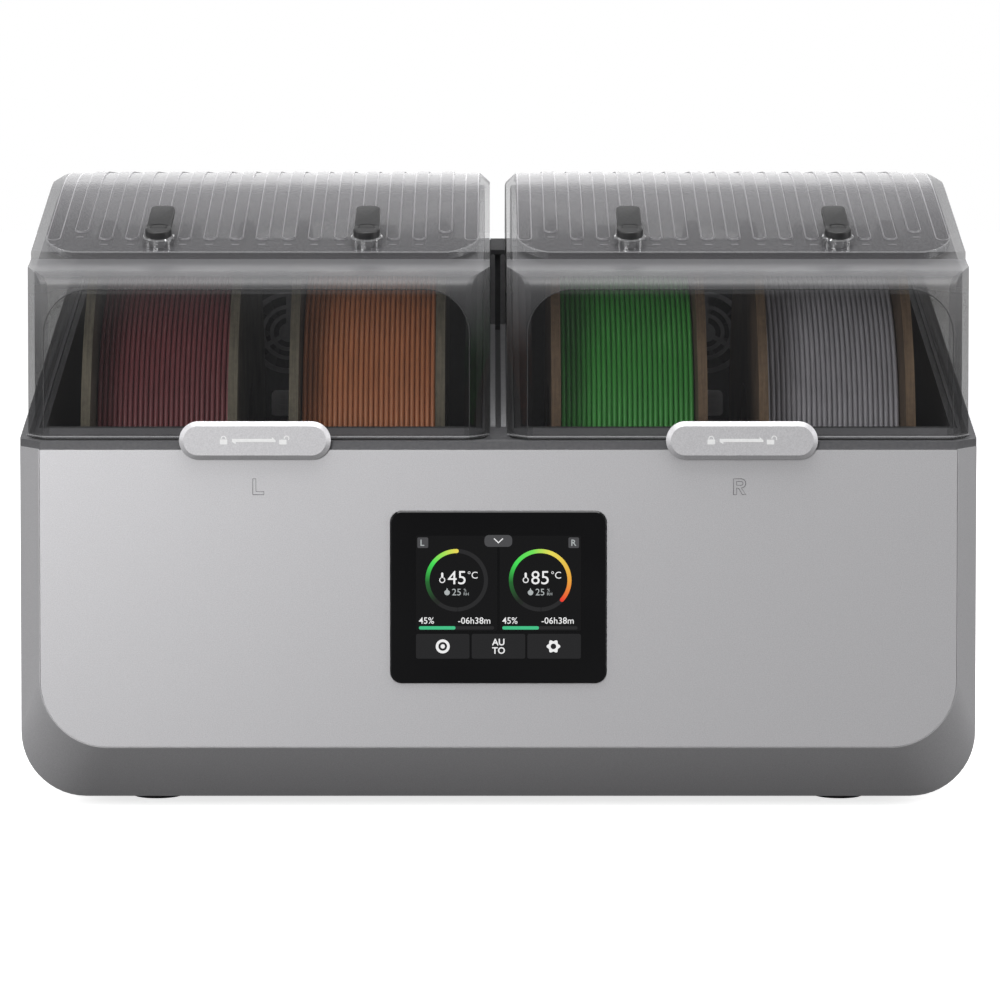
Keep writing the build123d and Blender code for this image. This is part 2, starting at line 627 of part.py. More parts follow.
# ======== roller cradles, axles and rollers ========
reach = SPOOL_R + ROLLER_R + ROLLER_GAP
roller_run = reach * sin(radians(ROLLER_ANGLE))
roller_z = SPOOL_Z - reach * cos(radians(ROLLER_ANGLE))
floor_top = CHAMBER_FLOOR + CHAMBER_WALL
ear_x = ROLLER_L / 2 + EAR_GAP + EAR_T / 2
ear_w = 10.0
for side, name in SIDES:
    centres = [x for x in SPOOL_X if x * side > 0]
    with BuildPart() as cradle:
        block(min(centres) - ear_x - EAR_T, max(centres) + ear_x + EAR_T,
              SPOOL_DEPTH - roller_run - CRADLE_HD, SPOOL_DEPTH - roller_run + CRADLE_HD, floor_top,
              floor_top + CRADLE_T)
        block(min(centres) - ear_x - EAR_T, max(centres) + ear_x + EAR_T,
              SPOOL_DEPTH + roller_run - CRADLE_HD, SPOOL_DEPTH + roller_run + CRADLE_HD, floor_top,
              floor_top + CRADLE_T)
        for x in centres:
            block(x - CRADLE_HW, x + CRADLE_HW, SPOOL_DEPTH - roller_run, SPOOL_DEPTH + roller_run, floor_top,
                  floor_top + CRADLE_T)
            for t in (-1, 1):
                middle = x + t * ear_x
                for u in (-1, 1):
                    depth = SPOOL_DEPTH + u * roller_run
                    block(middle - EAR_T / 2, middle + EAR_T / 2, depth - ear_w / 2,
                          depth + ear_w / 2, floor_top, roller_z + EAR_TOP)
        for u in (-1, 1):
            with BuildSketch(Plane.YZ.offset(min(centres) - 60)):
                with Locations((y_at(SPOOL_DEPTH + u * roller_run), roller_z)):
                    Circle(AXLE_R + 0.01)
            extrude(amount=max(centres) - min(centres) + 120, mode=Mode.SUBTRACT)
    finish(cradle, f"roller_cradle_{name}")

with BuildPart() as roller_axles:
    for x in SPOOL_X:
        for u in (-1, 1):
            with BuildSketch(Plane.YZ.offset(x - ear_x - EAR_T / 2)):
                with Locations((y_at(SPOOL_DEPTH + u * roller_run), roller_z)):
                    Circle(AXLE_R)
            extrude(amount=2 * ear_x + EAR_T)
finish(roller_axles, "roller_axles")

for number, x in enumerate(SPOOL_X, 1):
    for u, place in ((-1, "front"), (1, "rear")):
        with BuildPart() as roller:
            with BuildSketch(Plane.YZ.offset(x - ROLLER_L / 2)):
                with Locations((y_at(SPOOL_DEPTH + u * roller_run), roller_z)):
                    Circle(ROLLER_R)
            extrude(amount=ROLLER_L)
            chamfer(roller.edges().filter_by(GeomType.CIRCLE), 0.6)
            with BuildSketch(Plane.YZ.offset(x - ROLLER_L / 2)):
                with Locations((y_at(SPOOL_DEPTH + u * roller_run), roller_z)):
                    Circle(AXLE_R + AXLE_RUN)
            extrude(amount=ROLLER_L, mode=Mode.SUBTRACT)
        finish(roller, f"roller_{place}_{number}")

# ======== spools and their filament ========
for number, x in enumerate(SPOOL_X, 1):
    with BuildPart() as spool:
        with BuildSketch(Plane.YZ.offset(x)):
            with Locations((y_at(SPOOL_DEPTH), SPOOL_Z)):
                Circle(HUB_R)
        extrude(amount=SPOOL_W / 2, both=True)
        for start in (x - SPOOL_W / 2, x + SPOOL_W / 2 - FLANGE_T):
            with BuildSketch(Plane.YZ.offset(start)):
                with Locations((y_at(SPOOL_DEPTH), SPOOL_Z)):
                    Circle(SPOOL_R)
            extrude(amount=FLANGE_T)
        with BuildSketch(Plane.YZ.offset(x)):
            with Locations((y_at(SPOOL_DEPTH), SPOOL_Z)):
                Circle(HUB_BORE)
        extrude(amount=SPOOL_W / 2, both=True, mode=Mode.SUBTRACT)
    finish(spool, f"spool_{number}")

    with BuildPart() as filament:
        with BuildSketch(Plane.YZ.offset(x)):
            with Locations((y_at(SPOOL_DEPTH), SPOOL_Z)):
                Circle(WINDING_R)
                Circle(HUB_R + 0.1, mode=Mode.SUBTRACT)
        extrude(amount=SPOOL_W / 2 - FLANGE_T - 0.4, both=True)
    finish(filament, f"filament_{number}")

# ======== lids ========
slope = tan(radians(SLOPE_DEG))
slope_end_z = SLOPE_Z + (SLOPE_END - VISOR_FRONT) * slope
crest_r = (CREST_Z - slope_end_z) / (1 - cos(radians(SLOPE_DEG)))
crest_depth = SLOPE_END + crest_r * sin(radians(SLOPE_DEG))


def top_line(start, start_z, drop, end, bottom):
    """Top of the lid from its slope's start over the crest and down its back, lowered by drop."""
    Line((y_at(start), start_z - drop), (y_at(SLOPE_END), slope_end_z - drop))
    RadiusArc((y_at(SLOPE_END), slope_end_z - drop), (y_at(crest_depth), CREST_Z - drop), crest_r)
    Line((y_at(crest_depth), CREST_Z - drop), (y_at(end - BACK_ROUND), CREST_Z - drop))
    RadiusArc((y_at(end - BACK_ROUND), CREST_Z - drop), (y_at(end), CREST_Z - BACK_ROUND - drop),
              BACK_ROUND)
    Line((y_at(end), CREST_Z - BACK_ROUND - drop), (y_at(end), bottom))


def lid_profile(window, window_top, window_z, step_z, drop, end, raise_seam):
    """Side view of the lid: window, shoulder, slope, crest, back and seam."""
    with BuildLine() as edge:
        Line((y_at(window), seam(0) + raise_seam), (y_at(window_top), window_z))
        Bezier((y_at(window_top), window_z), (y_at(window_top), window_z + 9),
               (y_at(VISOR_FRONT - 11), step_z - 4.1), (y_at(VISOR_FRONT), step_z))
        if step_z != SLOPE_Z - drop:
            Line((y_at(VISOR_FRONT), step_z), (y_at(VISOR_FRONT), SLOPE_Z - drop))
        top_line(VISOR_FRONT, SLOPE_Z, drop, end, seam(end) + raise_seam)
        Polyline((y_at(end), seam(end) + raise_seam), (y_at(SEAM_START), seam(0) + raise_seam),
                 (y_at(window), seam(0) + raise_seam))
    make_face(edge.line.edges())


def visor_profile(drop, mode=Mode.ADD):
    """Side view of the room under the visor's top face, lowered by drop."""
    with BuildLine() as edge:
        Polyline((y_at(VISOR_BACK), 200), (y_at(VISOR_FRONT), 200), (y_at(VISOR_FRONT), SLOPE_Z - drop))
        Line((y_at(VISOR_FRONT), SLOPE_Z - drop), (y_at(SLOPE_END), slope_end_z - drop))
        RadiusArc((y_at(SLOPE_END), slope_end_z - drop), (y_at(crest_depth), CREST_Z - drop), crest_r)
        Polyline((y_at(crest_depth), CREST_Z - drop), (y_at(VISOR_BACK), CREST_Z - drop),
                 (y_at(VISOR_BACK), 200))
    make_face(edge.line.edges(), mode=mode)


visor_slope = Plane(origin=(0, y_at(VISOR_FRONT), SLOPE_Z), x_dir=(1, 0, 0),
                    z_dir=(0, -sin(radians(SLOPE_DEG)), cos(radians(SLOPE_DEG))))
port_along = (PORT_DEPTH - VISOR_FRONT) / cos(radians(SLOPE_DEG))
rib_length = (SLOPE_END - VISOR_FRONT) / cos(radians(SLOPE_DEG)) - 2
for side, name in SIDES:
    centre = side * LID_X
    ports = [x for x in SPOOL_X if x * side > 0]
    # the visor's seat, and the room inside the lid
    with BuildPart() as visor_room:
        with BuildSketch(Plane.YZ.offset(centre - VISOR_HW)):
            visor_profile(-5)
            visor_profile(VISOR_T, Mode.SUBTRACT)
        extrude(amount=2 * VISOR_HW)
        with BuildSketch(Plane.XY.offset(RIM_Z)):
            plan_outline(centre, VISOR_HW, VISOR_FRONT, VISOR_CORNER_X, VISOR_CORNER_DEPTH, VISOR_BACK,
                         corner_r=VISOR_CORNER_R)
        extrude(amount=150, mode=Mode.INTERSECT)
    with BuildPart() as lid_room:
        with BuildSketch(Plane.YZ.offset(centre - LID_HW + LID_T)):
            lid_profile(WINDOW_DEPTH + LID_T, WINDOW_TOP_DEPTH + LID_T, WINDOW_TOP_Z - 1,
                        SLOPE_Z - VISOR_T - LID_T, VISOR_T + LID_T, LID_BACK - LID_T, -20)
        extrude(amount=2 * (LID_HW - LID_T))
        with BuildSketch(Plane.XY.offset(RIM_Z - 30)):
            plan_outline(centre, LID_HW - LID_T, WINDOW_DEPTH + LID_T, CORNER_X, CORNER_DEPTH,
                         LID_BACK - LID_T)
        extrude(amount=160, mode=Mode.INTERSECT)

    with BuildPart() as lid:
        with BuildSketch(Plane.YZ.offset(centre - LID_HW)):
            lid_profile(WINDOW_DEPTH, WINDOW_TOP_DEPTH, WINDOW_TOP_Z, SLOPE_Z - VISOR_T, 0, LID_BACK, 0)
        extrude(amount=2 * LID_HW)
        with BuildSketch(facing(0)):
            with BuildLine():
                Polyline(
                    (centre - LID_HW, 150), (centre - LID_HW, CREST_Z - EDGE_CHAMFER),
                    (centre - LID_HW + EDGE_CHAMFER, CREST_Z), (centre + LID_HW - EDGE_CHAMFER, CREST_Z),
                    (centre + LID_HW, CREST_Z - EDGE_CHAMFER), (centre + LID_HW, 150), close=True,
                )
            make_face()
        extrude(amount=-(LID_BACK + 1), mode=Mode.INTERSECT)
        with BuildSketch(Plane.XY.offset(RIM_Z)):
            plan_outline(centre, LID_HW, WINDOW_DEPTH, CORNER_X, CORNER_DEPTH, LID_BACK)
        extrude(amount=120, mode=Mode.INTERSECT)
        add(visor_room.part, mode=Mode.SUBTRACT)
        add(lid_room.part, mode=Mode.SUBTRACT)
        # lip round the foot of the window
        with BuildSketch(Plane.XY.offset(seam(0))):
            plan_outline(centre, LID_HW, LIP_DEPTH, CORNER_X, CORNER_DEPTH, SEAM_START)
            plan_outline(centre, LID_HW - LID_T, WINDOW_DEPTH + LID_T, CORNER_X, CORNER_DEPTH,
                         LID_BACK, Mode.SUBTRACT)
        extrude(amount=LIP_T)
        # catch that drops through the front rail to the latch
        catch_x = centre - CATCH_SIDE
        block(catch_x, catch_x + CATCH_LEG, CATCH_FRONT, CATCH_FRONT + CATCH_T, CATCH_FOOT_Z,
              seam(0) + LIP_T)
        block(catch_x, catch_x + CATCH_W, CATCH_FRONT, CATCH_FRONT + CATCH_T, CATCH_FOOT_Z,
              CATCH_FOOT_Z + CATCH_FOOT_H)
        # knuckles
        for t in (-1, 1):
            middle = centre + t * HINGE_OFFSET
            block(middle - LID_KNUCKLE / 2, middle + LID_KNUCKLE / 2, LID_BACK - 2, HINGE_DEPTH,
                  seam(LID_BACK), HINGE_Z + KNUCKLE_R - 0.5)
            with BuildSketch(Plane.YZ.offset(middle - LID_KNUCKLE / 2)):
                with Locations((y_at(HINGE_DEPTH), HINGE_Z)):
                    Circle(KNUCKLE_R)
            extrude(amount=LID_KNUCKLE)
            with BuildSketch(Plane.YZ.offset(middle - LID_KNUCKLE / 2)):
                with Locations((y_at(HINGE_DEPTH), HINGE_Z)):
                    Circle(PIN_R + PIN_RUN)
            extrude(amount=LID_KNUCKLE, mode=Mode.SUBTRACT)
        # outlet holes
        with BuildSketch(visor_slope):
            with Locations(*[(x, port_along) for x in ports]):
                Circle(PORT_SHANK_R + 0.1)
        extrude(amount=-20, mode=Mode.SUBTRACT)
    finish(lid, f"lid_shell_{name}")

    with BuildPart() as ribs:
        with BuildSketch(Plane.YZ.offset(centre - VISOR_HW)):
            visor_profile(-RIB_H)
            visor_profile(0.4, Mode.SUBTRACT)
        extrude(amount=2 * VISOR_HW)
        with BuildSketch(Plane.XY.offset(RIM_Z)):
            for i in range(RIBS):
                x = centre + (i - (RIBS - 1) / 2) * RIB_PITCH
                outermost = i in (0, RIBS - 1)
                beside_port = min(abs(x - p) for p in ports) < RIB_PITCH / 2
                front = RIB_FRONT + (8 if outermost or beside_port else 0)
                with Locations((x, y_at((front + RIB_BACK) / 2))):
                    SlotOverall(RIB_BACK - front, RIB_W, rotation=90)
        extrude(amount=150, mode=Mode.INTERSECT)
    with BuildPart() as visor:
        with BuildSketch(Plane.YZ.offset(centre - VISOR_HW + 0.05)):
            visor_profile(0)
            visor_profile(VISOR_T, Mode.SUBTRACT)
        extrude(amount=2 * (VISOR_HW - 0.05))
        with BuildSketch(Plane.XY.offset(RIM_Z)):
            plan_outline(centre, VISOR_HW, VISOR_FRONT, VISOR_CORNER_X, VISOR_CORNER_DEPTH,
                         VISOR_BACK - 0.05, corner_r=VISOR_CORNER_R)
        extrude(amount=150, mode=Mode.INTERSECT)
        add(ribs.part)
        with BuildSketch(visor_slope):
            with Locations(*[(x, port_along) for x in ports]):
                Circle(PORT_SHANK_R + 0.1)
        extrude(amount=-10, mode=Mode.SUBTRACT)
    finish(visor, f"lid_visor_{name}")

    # outlet fittings: clear collar, shank through visor and shell, nut inside
    with BuildPart() as fittings:
        with BuildSketch(visor_slope):
            with Locations(*[(x, port_along) for x in ports]):
                Circle(PORT_R)
        extrude(amount=PORT_H)
        chamfer(fittings.edges().filter_by(GeomType.CIRCLE).group_by(Axis.Z)[-1], 0.6)
        with BuildSketch(visor_slope):
            with Locations(*[(x, port_along) for x in ports]):
                Circle(PORT_SHANK_R)
        extrude(amount=-(VISOR_T + LID_T + PORT_NUT_H))
        with BuildSketch(visor_slope.offset(-(VISOR_T + LID_T) + 0.2)):
            with Locations(*[(x, port_along) for x in ports]):
                RegularPolygon(PORT_NUT_R, 6)
        extrude(amount=-PORT_NUT_H)
        with BuildSketch(visor_slope.offset(20)):
            with Locations(*[(x, port_along) for x in ports]):
                Circle(PORT_BORE)
        extrude(amount=-40, mode=Mode.SUBTRACT)
    finish(fittings, f"outlet_fittings_{name}")

# ======== outlet plugs ========
for number, x in enumerate(SPOOL_X, 1):
    with BuildPart() as plug:
        with BuildSketch(visor_slope.offset(PORT_H)):
            with Locations((x, port_along)):
                Circle(PLUG_HEAD_R)
        extrude(amount=PLUG_HEAD_H)
        with BuildSketch(visor_slope.offset(PORT_H)):
            with Locations((x, port_along)):
                Circle(PLUG_STEM_R)
        extrude(amount=-(PORT_H + 4))
        with BuildSketch(visor_slope.offset(PORT_H + PLUG_HEAD_H - TAB_T)):
            with Locations((x, port_along + (TAB_REACH - TAB_W / 2) / 2)):
                SlotOverall(TAB_REACH + TAB_W / 2, TAB_W, rotation=90)
        extrude(amount=TAB_T)
    finish(plug, f"outlet_plug_{number}")

# ======== latches ========
for side, name in SIDES:
    centre = side * LID_X
    with BuildPart() as latch:
        with BuildSketch(facing(-0.3)):
            with Locations((centre, LATCH_Z)):
                SlotOverall(LATCH_W, LATCH_H)
        extrude(amount=LATCH_PROUD - 0.3)
        chamfer(latch.faces().sort_by(Axis.Y)[0].edges(), LATCH_BEVEL)
        block(centre - STEM_SIDE, centre - STEM_SIDE + STEM_W, -1, STEM_BACK, STEM_Z, STEM_Z + STEM_H)
    finish(latch, f"latch_{name}")

# ======== display and boards ========
with BuildPart() as display_glass:
    with BuildSketch(facing(GLASS_T - GLASS_PROUD)):
        with Locations((0, GLASS_Z)):
            RectangleRounded(GLASS_W, GLASS_H, GLASS_R)
    extrude(amount=GLASS_T)
    chamfer(display_glass.faces().sort_by(Axis.Y)[0].edges(), 0.5)
finish(display_glass, "display_glass")

with BuildPart() as display_module:
    with BuildSketch(facing(GLASS_T - GLASS_PROUD)):
        with Locations((0, GLASS_Z)):
            Rectangle(LCD_W, LCD_H)
    extrude(amount=-LCD_T)
finish(display_module, "display_module")

board_parts = ((-50, 20, 22, 12, 6), (-20, 24, 10, 10, 3), (12, 22, 26, 8, 7), (50, 18, 16, 22, 8),
               (-48, -18, 18, 18, 4), (0, -24, 30, 9, 9), (42, -22, 12, 12, 5))
with BuildPart() as control_board:
    with BuildSketch(facing(BOARD_DEPTH)):
        with Locations((0, GLASS_Z)):
            Rectangle(BOARD_W, BOARD_H)
        with Locations(*board_posts):
            Circle(SCREW_HOLE, mode=Mode.SUBTRACT)
    extrude(amount=-BOARD_T)
    for x, z, w, h, t in board_parts:
        with BuildSketch(facing(BOARD_DEPTH + BOARD_T)):
            with Locations((x, GLASS_Z + z)):
                Rectangle(w, h)
        extrude(amount=-t)
finish(control_board, "control_board")

plate_top = FOOT_H + HATCH_T
with BuildPart() as driver_board:
    with BuildSketch(Plane.XY.offset(plate_top)):
        with Locations((-psu_x, y_at(psu_depth))):
            with GridLocations(110, 74, 2, 2):
                Circle(POST_R)
    extrude(amount=POST_H)
    with BuildSketch(Plane.XY.offset(plate_top + POST_H)):
        with Locations((-psu_x, y_at(psu_depth))):
            Rectangle(124, 88)
    extrude(amount=BOARD_T)
    for x, y, w, h, t in ((-40, 20, 19, 16, 15), (-14, 20, 19, 16, 15), (20, 22, 30, 10, 9),
                          (-36, -22, 26, 9, 10), (8, -18, 14, 14, 3), (42, -14, 12, 24, 12)):
        with BuildSketch(Plane.XY.offset(plate_top + POST_H + BOARD_T)):
            with Locations((-psu_x + x, y_at(psu_depth) + y)):
                Rectangle(w, h)
        extrude(amount=t)
finish(driver_board, "driver_board")

with BuildPart() as power_supply:
    with BuildSketch(Plane.XY.offset(plate_top)):
        with Locations((psu_x, y_at(psu_depth))):
            Rectangle(PSU[0], PSU[1])
    extrude(amount=PSU[2])
    fillet(power_supply.edges().filter_by(Axis.X).group_by(Axis.Z)[-1], 1.5)
    with BuildSketch(Plane.XY.offset(plate_top + PSU[2])):
        with Locations((psu_x, y_at(psu_depth))):
            with GridLocations(9, 1, 12, 1):
                SlotOverall(60, 4, rotation=90)
    extrude(amount=-2, mode=Mode.SUBTRACT)
finish(power_supply, "power_supply")

# ======== back panel, inlet, switch and screws ========
panel_face = BACK_PANEL_DEPTH + BACK_PANEL_T
with BuildPart() as back_panel:
    with BuildSketch(facing(BACK_PANEL_DEPTH)):
        housing_outline(side_room - FIT, FOOT_H + WALL + FIT, BACK_PANEL_TOP, BODY_R - WALL)
    extrude(amount=-BACK_PANEL_T)
    with BuildSketch(facing(BACK_PANEL_DEPTH)):
        for side, _ in SIDES:
            with Locations((side * LID_X, FAN_VENT_Z)):
                with GridLocations(1, VENT_PITCH, 1, 8):
                    SlotOverall(56, VENT_W)
        with Locations((psu_x, PSU_VENT_Z)):
            with GridLocations(1, VENT_PITCH, 1, 6):
                SlotOverall(90, VENT_W)
        with Locations((INLET_X, INLET_Z)):
            Rectangle(27.4, 20)
        with Locations((ROCKER_X, INLET_Z)):
            Rectangle(19.4, 13)
        with Locations(*back_screws):
            Circle(SCREW_HOLE)
    extrude(amount=-BACK_PANEL_T, mode=Mode.SUBTRACT)
finish(back_panel, "back_panel")

inlet_mouth = panel_face + 1.5
with BuildPart() as power_inlet:
    with BuildSketch(facing(inlet_mouth)):
        with Locations((INLET_X, INLET_Z)):
            RectangleRounded(34, 27, 3)
    extrude(amount=1.5)
    with BuildSketch(facing(panel_face)):
        with Locations((INLET_X, INLET_Z)):
            Rectangle(27, 19.6)
    extrude(amount=18)
    with BuildSketch(facing(inlet_mouth)):
        with Locations((INLET_X, INLET_Z)):
            Rectangle(24, 16.4)
    extrude(amount=16, mode=Mode.SUBTRACT)
    with BuildSketch(facing(inlet_mouth - 16)):
        with Locations((INLET_X, INLET_Z)):
            with Locations((-7, -2), (0, 2), (7, -2)):
                Rectangle(2, 4)
    extrude(amount=-9)
finish(power_inlet, "power_inlet")

pivot_depth = panel_face - 6.5
rocker_tilt = 8.0
with BuildPart() as switch_housing:
    with BuildSketch(facing(inlet_mouth)):
        with Locations((ROCKER_X, INLET_Z)):
            RectangleRounded(23, 17, 2)
    extrude(amount=1.5)
    with BuildSketch(facing(panel_face)):
        with Locations((ROCKER_X, INLET_Z)):
            Rectangle(19, 12.6)
    extrude(amount=17)
    with BuildSketch(facing(inlet_mouth)):
        with Locations((ROCKER_X, INLET_Z)):
            Rectangle(17, 11)
    extrude(amount=15, mode=Mode.SUBTRACT)
    with BuildSketch(Plane.XY.offset(INLET_Z - 6)):
        with Locations((ROCKER_X, y_at(pivot_depth))):
            Circle(1.2)
    extrude(amount=12)
finish(switch_housing, "switch_housing")

with BuildPart() as switch_rocker:
    with BuildSketch(Plane(origin=(ROCKER_X, y_at(pivot_depth), INLET_Z - 5.2),
                           x_dir=(cos(radians(rocker_tilt)), -sin(radians(rocker_tilt)), 0),
                           z_dir=(0, 0, 1))):
        Polygon((-7.4, 1), (0, -2.5), (7.4, 1), (7.4, 6.2), (0, 4.6), (-7.4, 6.2), align=None)
        Circle(1.2 + AXLE_RUN, mode=Mode.SUBTRACT)
    extrude(amount=10.4)
finish(switch_rocker, "switch_rocker")

with BuildPart() as back_panel_screws:
    with BuildSketch(facing(panel_face)):
        with Locations(*back_screws):
            Circle(HEAD_R)
    extrude(amount=-HEAD_H)
    with BuildSketch(facing(panel_face)):
        with Locations(*back_screws):
            Circle(SCREW_R)
    extrude(amount=12)
    with BuildSketch(facing(panel_face + HEAD_H)):
        with Locations(*back_screws):
            RegularPolygon(1.3, 6)
    extrude(amount=0.8, mode=Mode.SUBTRACT)
finish(back_panel_screws, "back_panel_screws")

with BuildPart() as board_screws:
    with BuildSketch(facing(BOARD_DEPTH + BOARD_T)):
        with Locations(*board_posts):
            Circle(HEAD_R)
    extrude(amount=-HEAD_H)
    with BuildSketch(facing(BOARD_DEPTH + BOARD_T)):
        with Locations(*board_posts):
            Circle(SCREW_R)
    extrude(amount=BOARD_T + BOARD_BITE)
finish(board_screws, "board_screws")
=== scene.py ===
import bpy
import random
from math import cos, pi, radians, sin, tan
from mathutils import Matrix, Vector


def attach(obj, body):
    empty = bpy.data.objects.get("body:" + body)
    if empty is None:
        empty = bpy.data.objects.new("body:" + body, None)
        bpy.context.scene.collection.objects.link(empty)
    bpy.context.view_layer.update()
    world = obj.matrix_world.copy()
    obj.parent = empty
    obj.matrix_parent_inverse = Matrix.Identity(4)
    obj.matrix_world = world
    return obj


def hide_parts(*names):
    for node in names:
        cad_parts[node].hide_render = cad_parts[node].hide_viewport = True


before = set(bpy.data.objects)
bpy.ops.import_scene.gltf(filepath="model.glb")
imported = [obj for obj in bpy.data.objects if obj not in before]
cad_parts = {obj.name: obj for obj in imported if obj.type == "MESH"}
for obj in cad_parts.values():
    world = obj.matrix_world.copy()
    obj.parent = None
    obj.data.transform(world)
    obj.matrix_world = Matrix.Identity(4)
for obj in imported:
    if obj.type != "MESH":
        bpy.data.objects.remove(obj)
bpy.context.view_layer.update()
random.seed(7)

# ---- base housing and front panel ----
# The housing is a moulded shell sprayed with a satin silver paint that holds fine metal flakes. The
# front panel is a separate moulding in the same paint, dropped into the bevelled mouth of the housing.


class Term:
    """One value in a material, so that shader maths can be written as sums."""

    def __init__(self, finish, socket):
        self.finish = finish
        self.socket = socket

    def math(self, operation, a, b=0):
        return self.finish.node("ShaderNodeMath", {"operation": operation}, {0: a, 1: b})

    def __add__(self, other):
        return self.math("ADD", self, other)

    def __radd__(self, other):
        return self.math("ADD", other, self)

    def __sub__(self, other):
        return self.math("SUBTRACT", self, other)

    def __rsub__(self, other):
        return self.math("SUBTRACT", other, self)

    def __mul__(self, other):
        return self.math("MULTIPLY", self, other)

    def __rmul__(self, other):
        return self.math("MULTIPLY", other, self)

    def __pow__(self, other):
        return self.math("POWER", self, other)

    def __truediv__(self, other):
        return self.math("DIVIDE", self, other)


class Finish:
    """A material under construction: its node tree and its main shader."""

    def __init__(self, name, **constants):
        self.material = bpy.data.materials.new(name)
        self.material.use_nodes = True
        self.tree = self.material.node_tree
        self.shader = self.tree.nodes["Principled BSDF"]
        for label, value in constants.items():
            self.shader.inputs[label.replace("_", " ")].default_value = value

    def node(self, kind, settings, inputs, output=0):
        made = self.tree.nodes.new(kind)
        for label, value in settings.items():
            if label == "stops":
                ramp = made.color_ramp
                for place, shade in value[1:-1]:
                    ramp.elements.new(place)
                for element, (place, shade) in zip(ramp.elements, value):
                    element.position = place
                    element.color = (*shade, 1) if len(shade) == 3 else shade
            else:
                setattr(made, label, value)
        for label, value in inputs.items():
            self.link(made.inputs[label], value)
        return Term(self, made.outputs[output])

    def link(self, socket, value):
        if isinstance(value, Term):
            self.tree.links.new(value.socket, socket)
        else:
            socket.default_value = value

    def feed(self, label, value):
        self.link(self.shader.inputs[label], value)

    def place(self):
        """Object coordinates."""
        return self.node("ShaderNodeTexCoord", {}, {}, "Object")

    def noise(self, scale, detail=2.0, stretch=(1, 1, 1)):
        where = self.node("ShaderNodeMapping", {}, {"Vector": self.place(), "Scale": stretch})
        return self.node("ShaderNodeTexNoise", {}, {"Vector": where, "Scale": scale, "Detail": detail})

    def shades(self, amount, *stops):
        return self.node("ShaderNodeValToRGB", {"stops": stops}, {"Fac": amount})

    def bump(self, height, distance, strength=1.0):
        self.feed("Normal", self.node("ShaderNodeBump", {},
                                      {"Height": height, "Distance": distance, "Strength": strength}))

    def dress(self, *names):
        for name in names:
            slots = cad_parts[name].data.materials
            slots.clear()
            slots.append(self.material)
            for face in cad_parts[name].data.polygons:
                face.material_index = 0


silver = Finish("silver_paint", Metallic=0.55, IOR=1.5)
silver_grain = silver.noise(2600, 2)
silver.feed("Base Color", silver.shades(silver_grain, (0.3, (0.50, 0.495, 0.51)), (0.7, (0.60, 0.595, 0.61))))
silver.feed("Roughness", 0.42 + silver.noise(900) * 0.1)
silver.bump(silver_grain, 0.00003)
silver.dress("base_shell", "front_panel")

FRONT = -0.1435            # front panel's face
LID_X = 0.1008             # centre of each lid and latch


def trace(name, points):
    """Wire through the points, left in edit mode."""
    bpy.ops.object.select_all(action="DESELECT")
    bpy.ops.mesh.primitive_plane_add(size=0.001, location=points[0])
    piece = bpy.context.object
    piece.name = name
    bpy.ops.object.transform_apply(location=True, rotation=True, scale=True)
    bpy.ops.object.mode_set(mode="EDIT")
    bpy.ops.mesh.select_all(action="SELECT")
    bpy.ops.mesh.merge(type="CENTER")
    for start, end in zip(points, points[1:]):
        step = Vector(end) - Vector(start)
        bpy.ops.mesh.extrude_region_move(TRANSFORM_OT_translate={"value": step})
    bpy.ops.mesh.select_all(action="SELECT")
    return piece


def stroke(name, points, radius):
    """Round line through the points."""
    piece = trace(name, points)
    bpy.ops.object.mode_set(mode="OBJECT")
    bpy.ops.object.convert(target="CURVE")
    bpy.context.object.data.bevel_depth = radius
    bpy.context.object.data.bevel_resolution = 1
    bpy.context.object.data.use_fill_caps = True
    bpy.ops.object.convert(target="MESH")
    return bpy.context.object


def settle(piece, body, finish, *replaced):
    """Give a finished piece its material and its body."""
    piece.data.materials.clear()
    piece.data.materials.append(finish.material)
    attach(piece, body)
    if replaced:
        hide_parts(*replaced)


# zone letters, engraved as outlines below the latches
ink = Finish("engraved_line", Roughness=0.6)
ink.feed("Base Color", ink.shades(ink.noise(900), (0.3, (0.10, 0.10, 0.10)), (0.7, (0.14, 0.14, 0.145))))
LETTER_Z = 0.1331
LETTER_H = 0.0066
STROKE_W = 0.0013


def at_front(x, z, outlines):
    """Points of a drawing on the panel's face, moved to a place."""
    return [(x + u, FRONT, z + v) for u, v in outlines]


letter_l = ((0, 0), (0, LETTER_H), (STROKE_W, LETTER_H), (STROKE_W, STROKE_W), (0.0046, STROKE_W), (0.0046, 0), (0, 0))
settle(stroke("letter_left", at_front(-LID_X - 0.001, LETTER_Z, letter_l), 0.00013), "housing", ink)
BOWL_R = 0.0019
bowl = [(0.0032 + BOWL_R * sin(a), LETTER_H - BOWL_R - BOWL_R * -cos(a)) for a in [pi * i / 8 for i in range(9)]]
letter_r = [(0, 0), (0, LETTER_H)] + bowl + [(0.0051, 0), (0.0037, 0), (0.0021, 0.0027), (STROKE_W, 0.0027), (STROKE_W, 0), (0, 0)]
settle(stroke("letter_right", at_front(LID_X - 0.0034, LETTER_Z, letter_r), 0.00013), "housing", ink)
INNER_R = 0.0008
inner = [(0.0031 + INNER_R * sin(a), LETTER_H - BOWL_R + INNER_R * cos(a)) for a in [pi * i / 8 for i in range(9)]]
counter = [(STROKE_W, LETTER_H - BOWL_R + INNER_R)] + inner + [(STROKE_W, LETTER_H - BOWL_R - INNER_R), (STROKE_W, LETTER_H - BOWL_R + INNER_R)]
settle(stroke("letter_right_counter", at_front(LID_X - 0.0034, LETTER_Z, counter), 0.00013), "housing", ink)

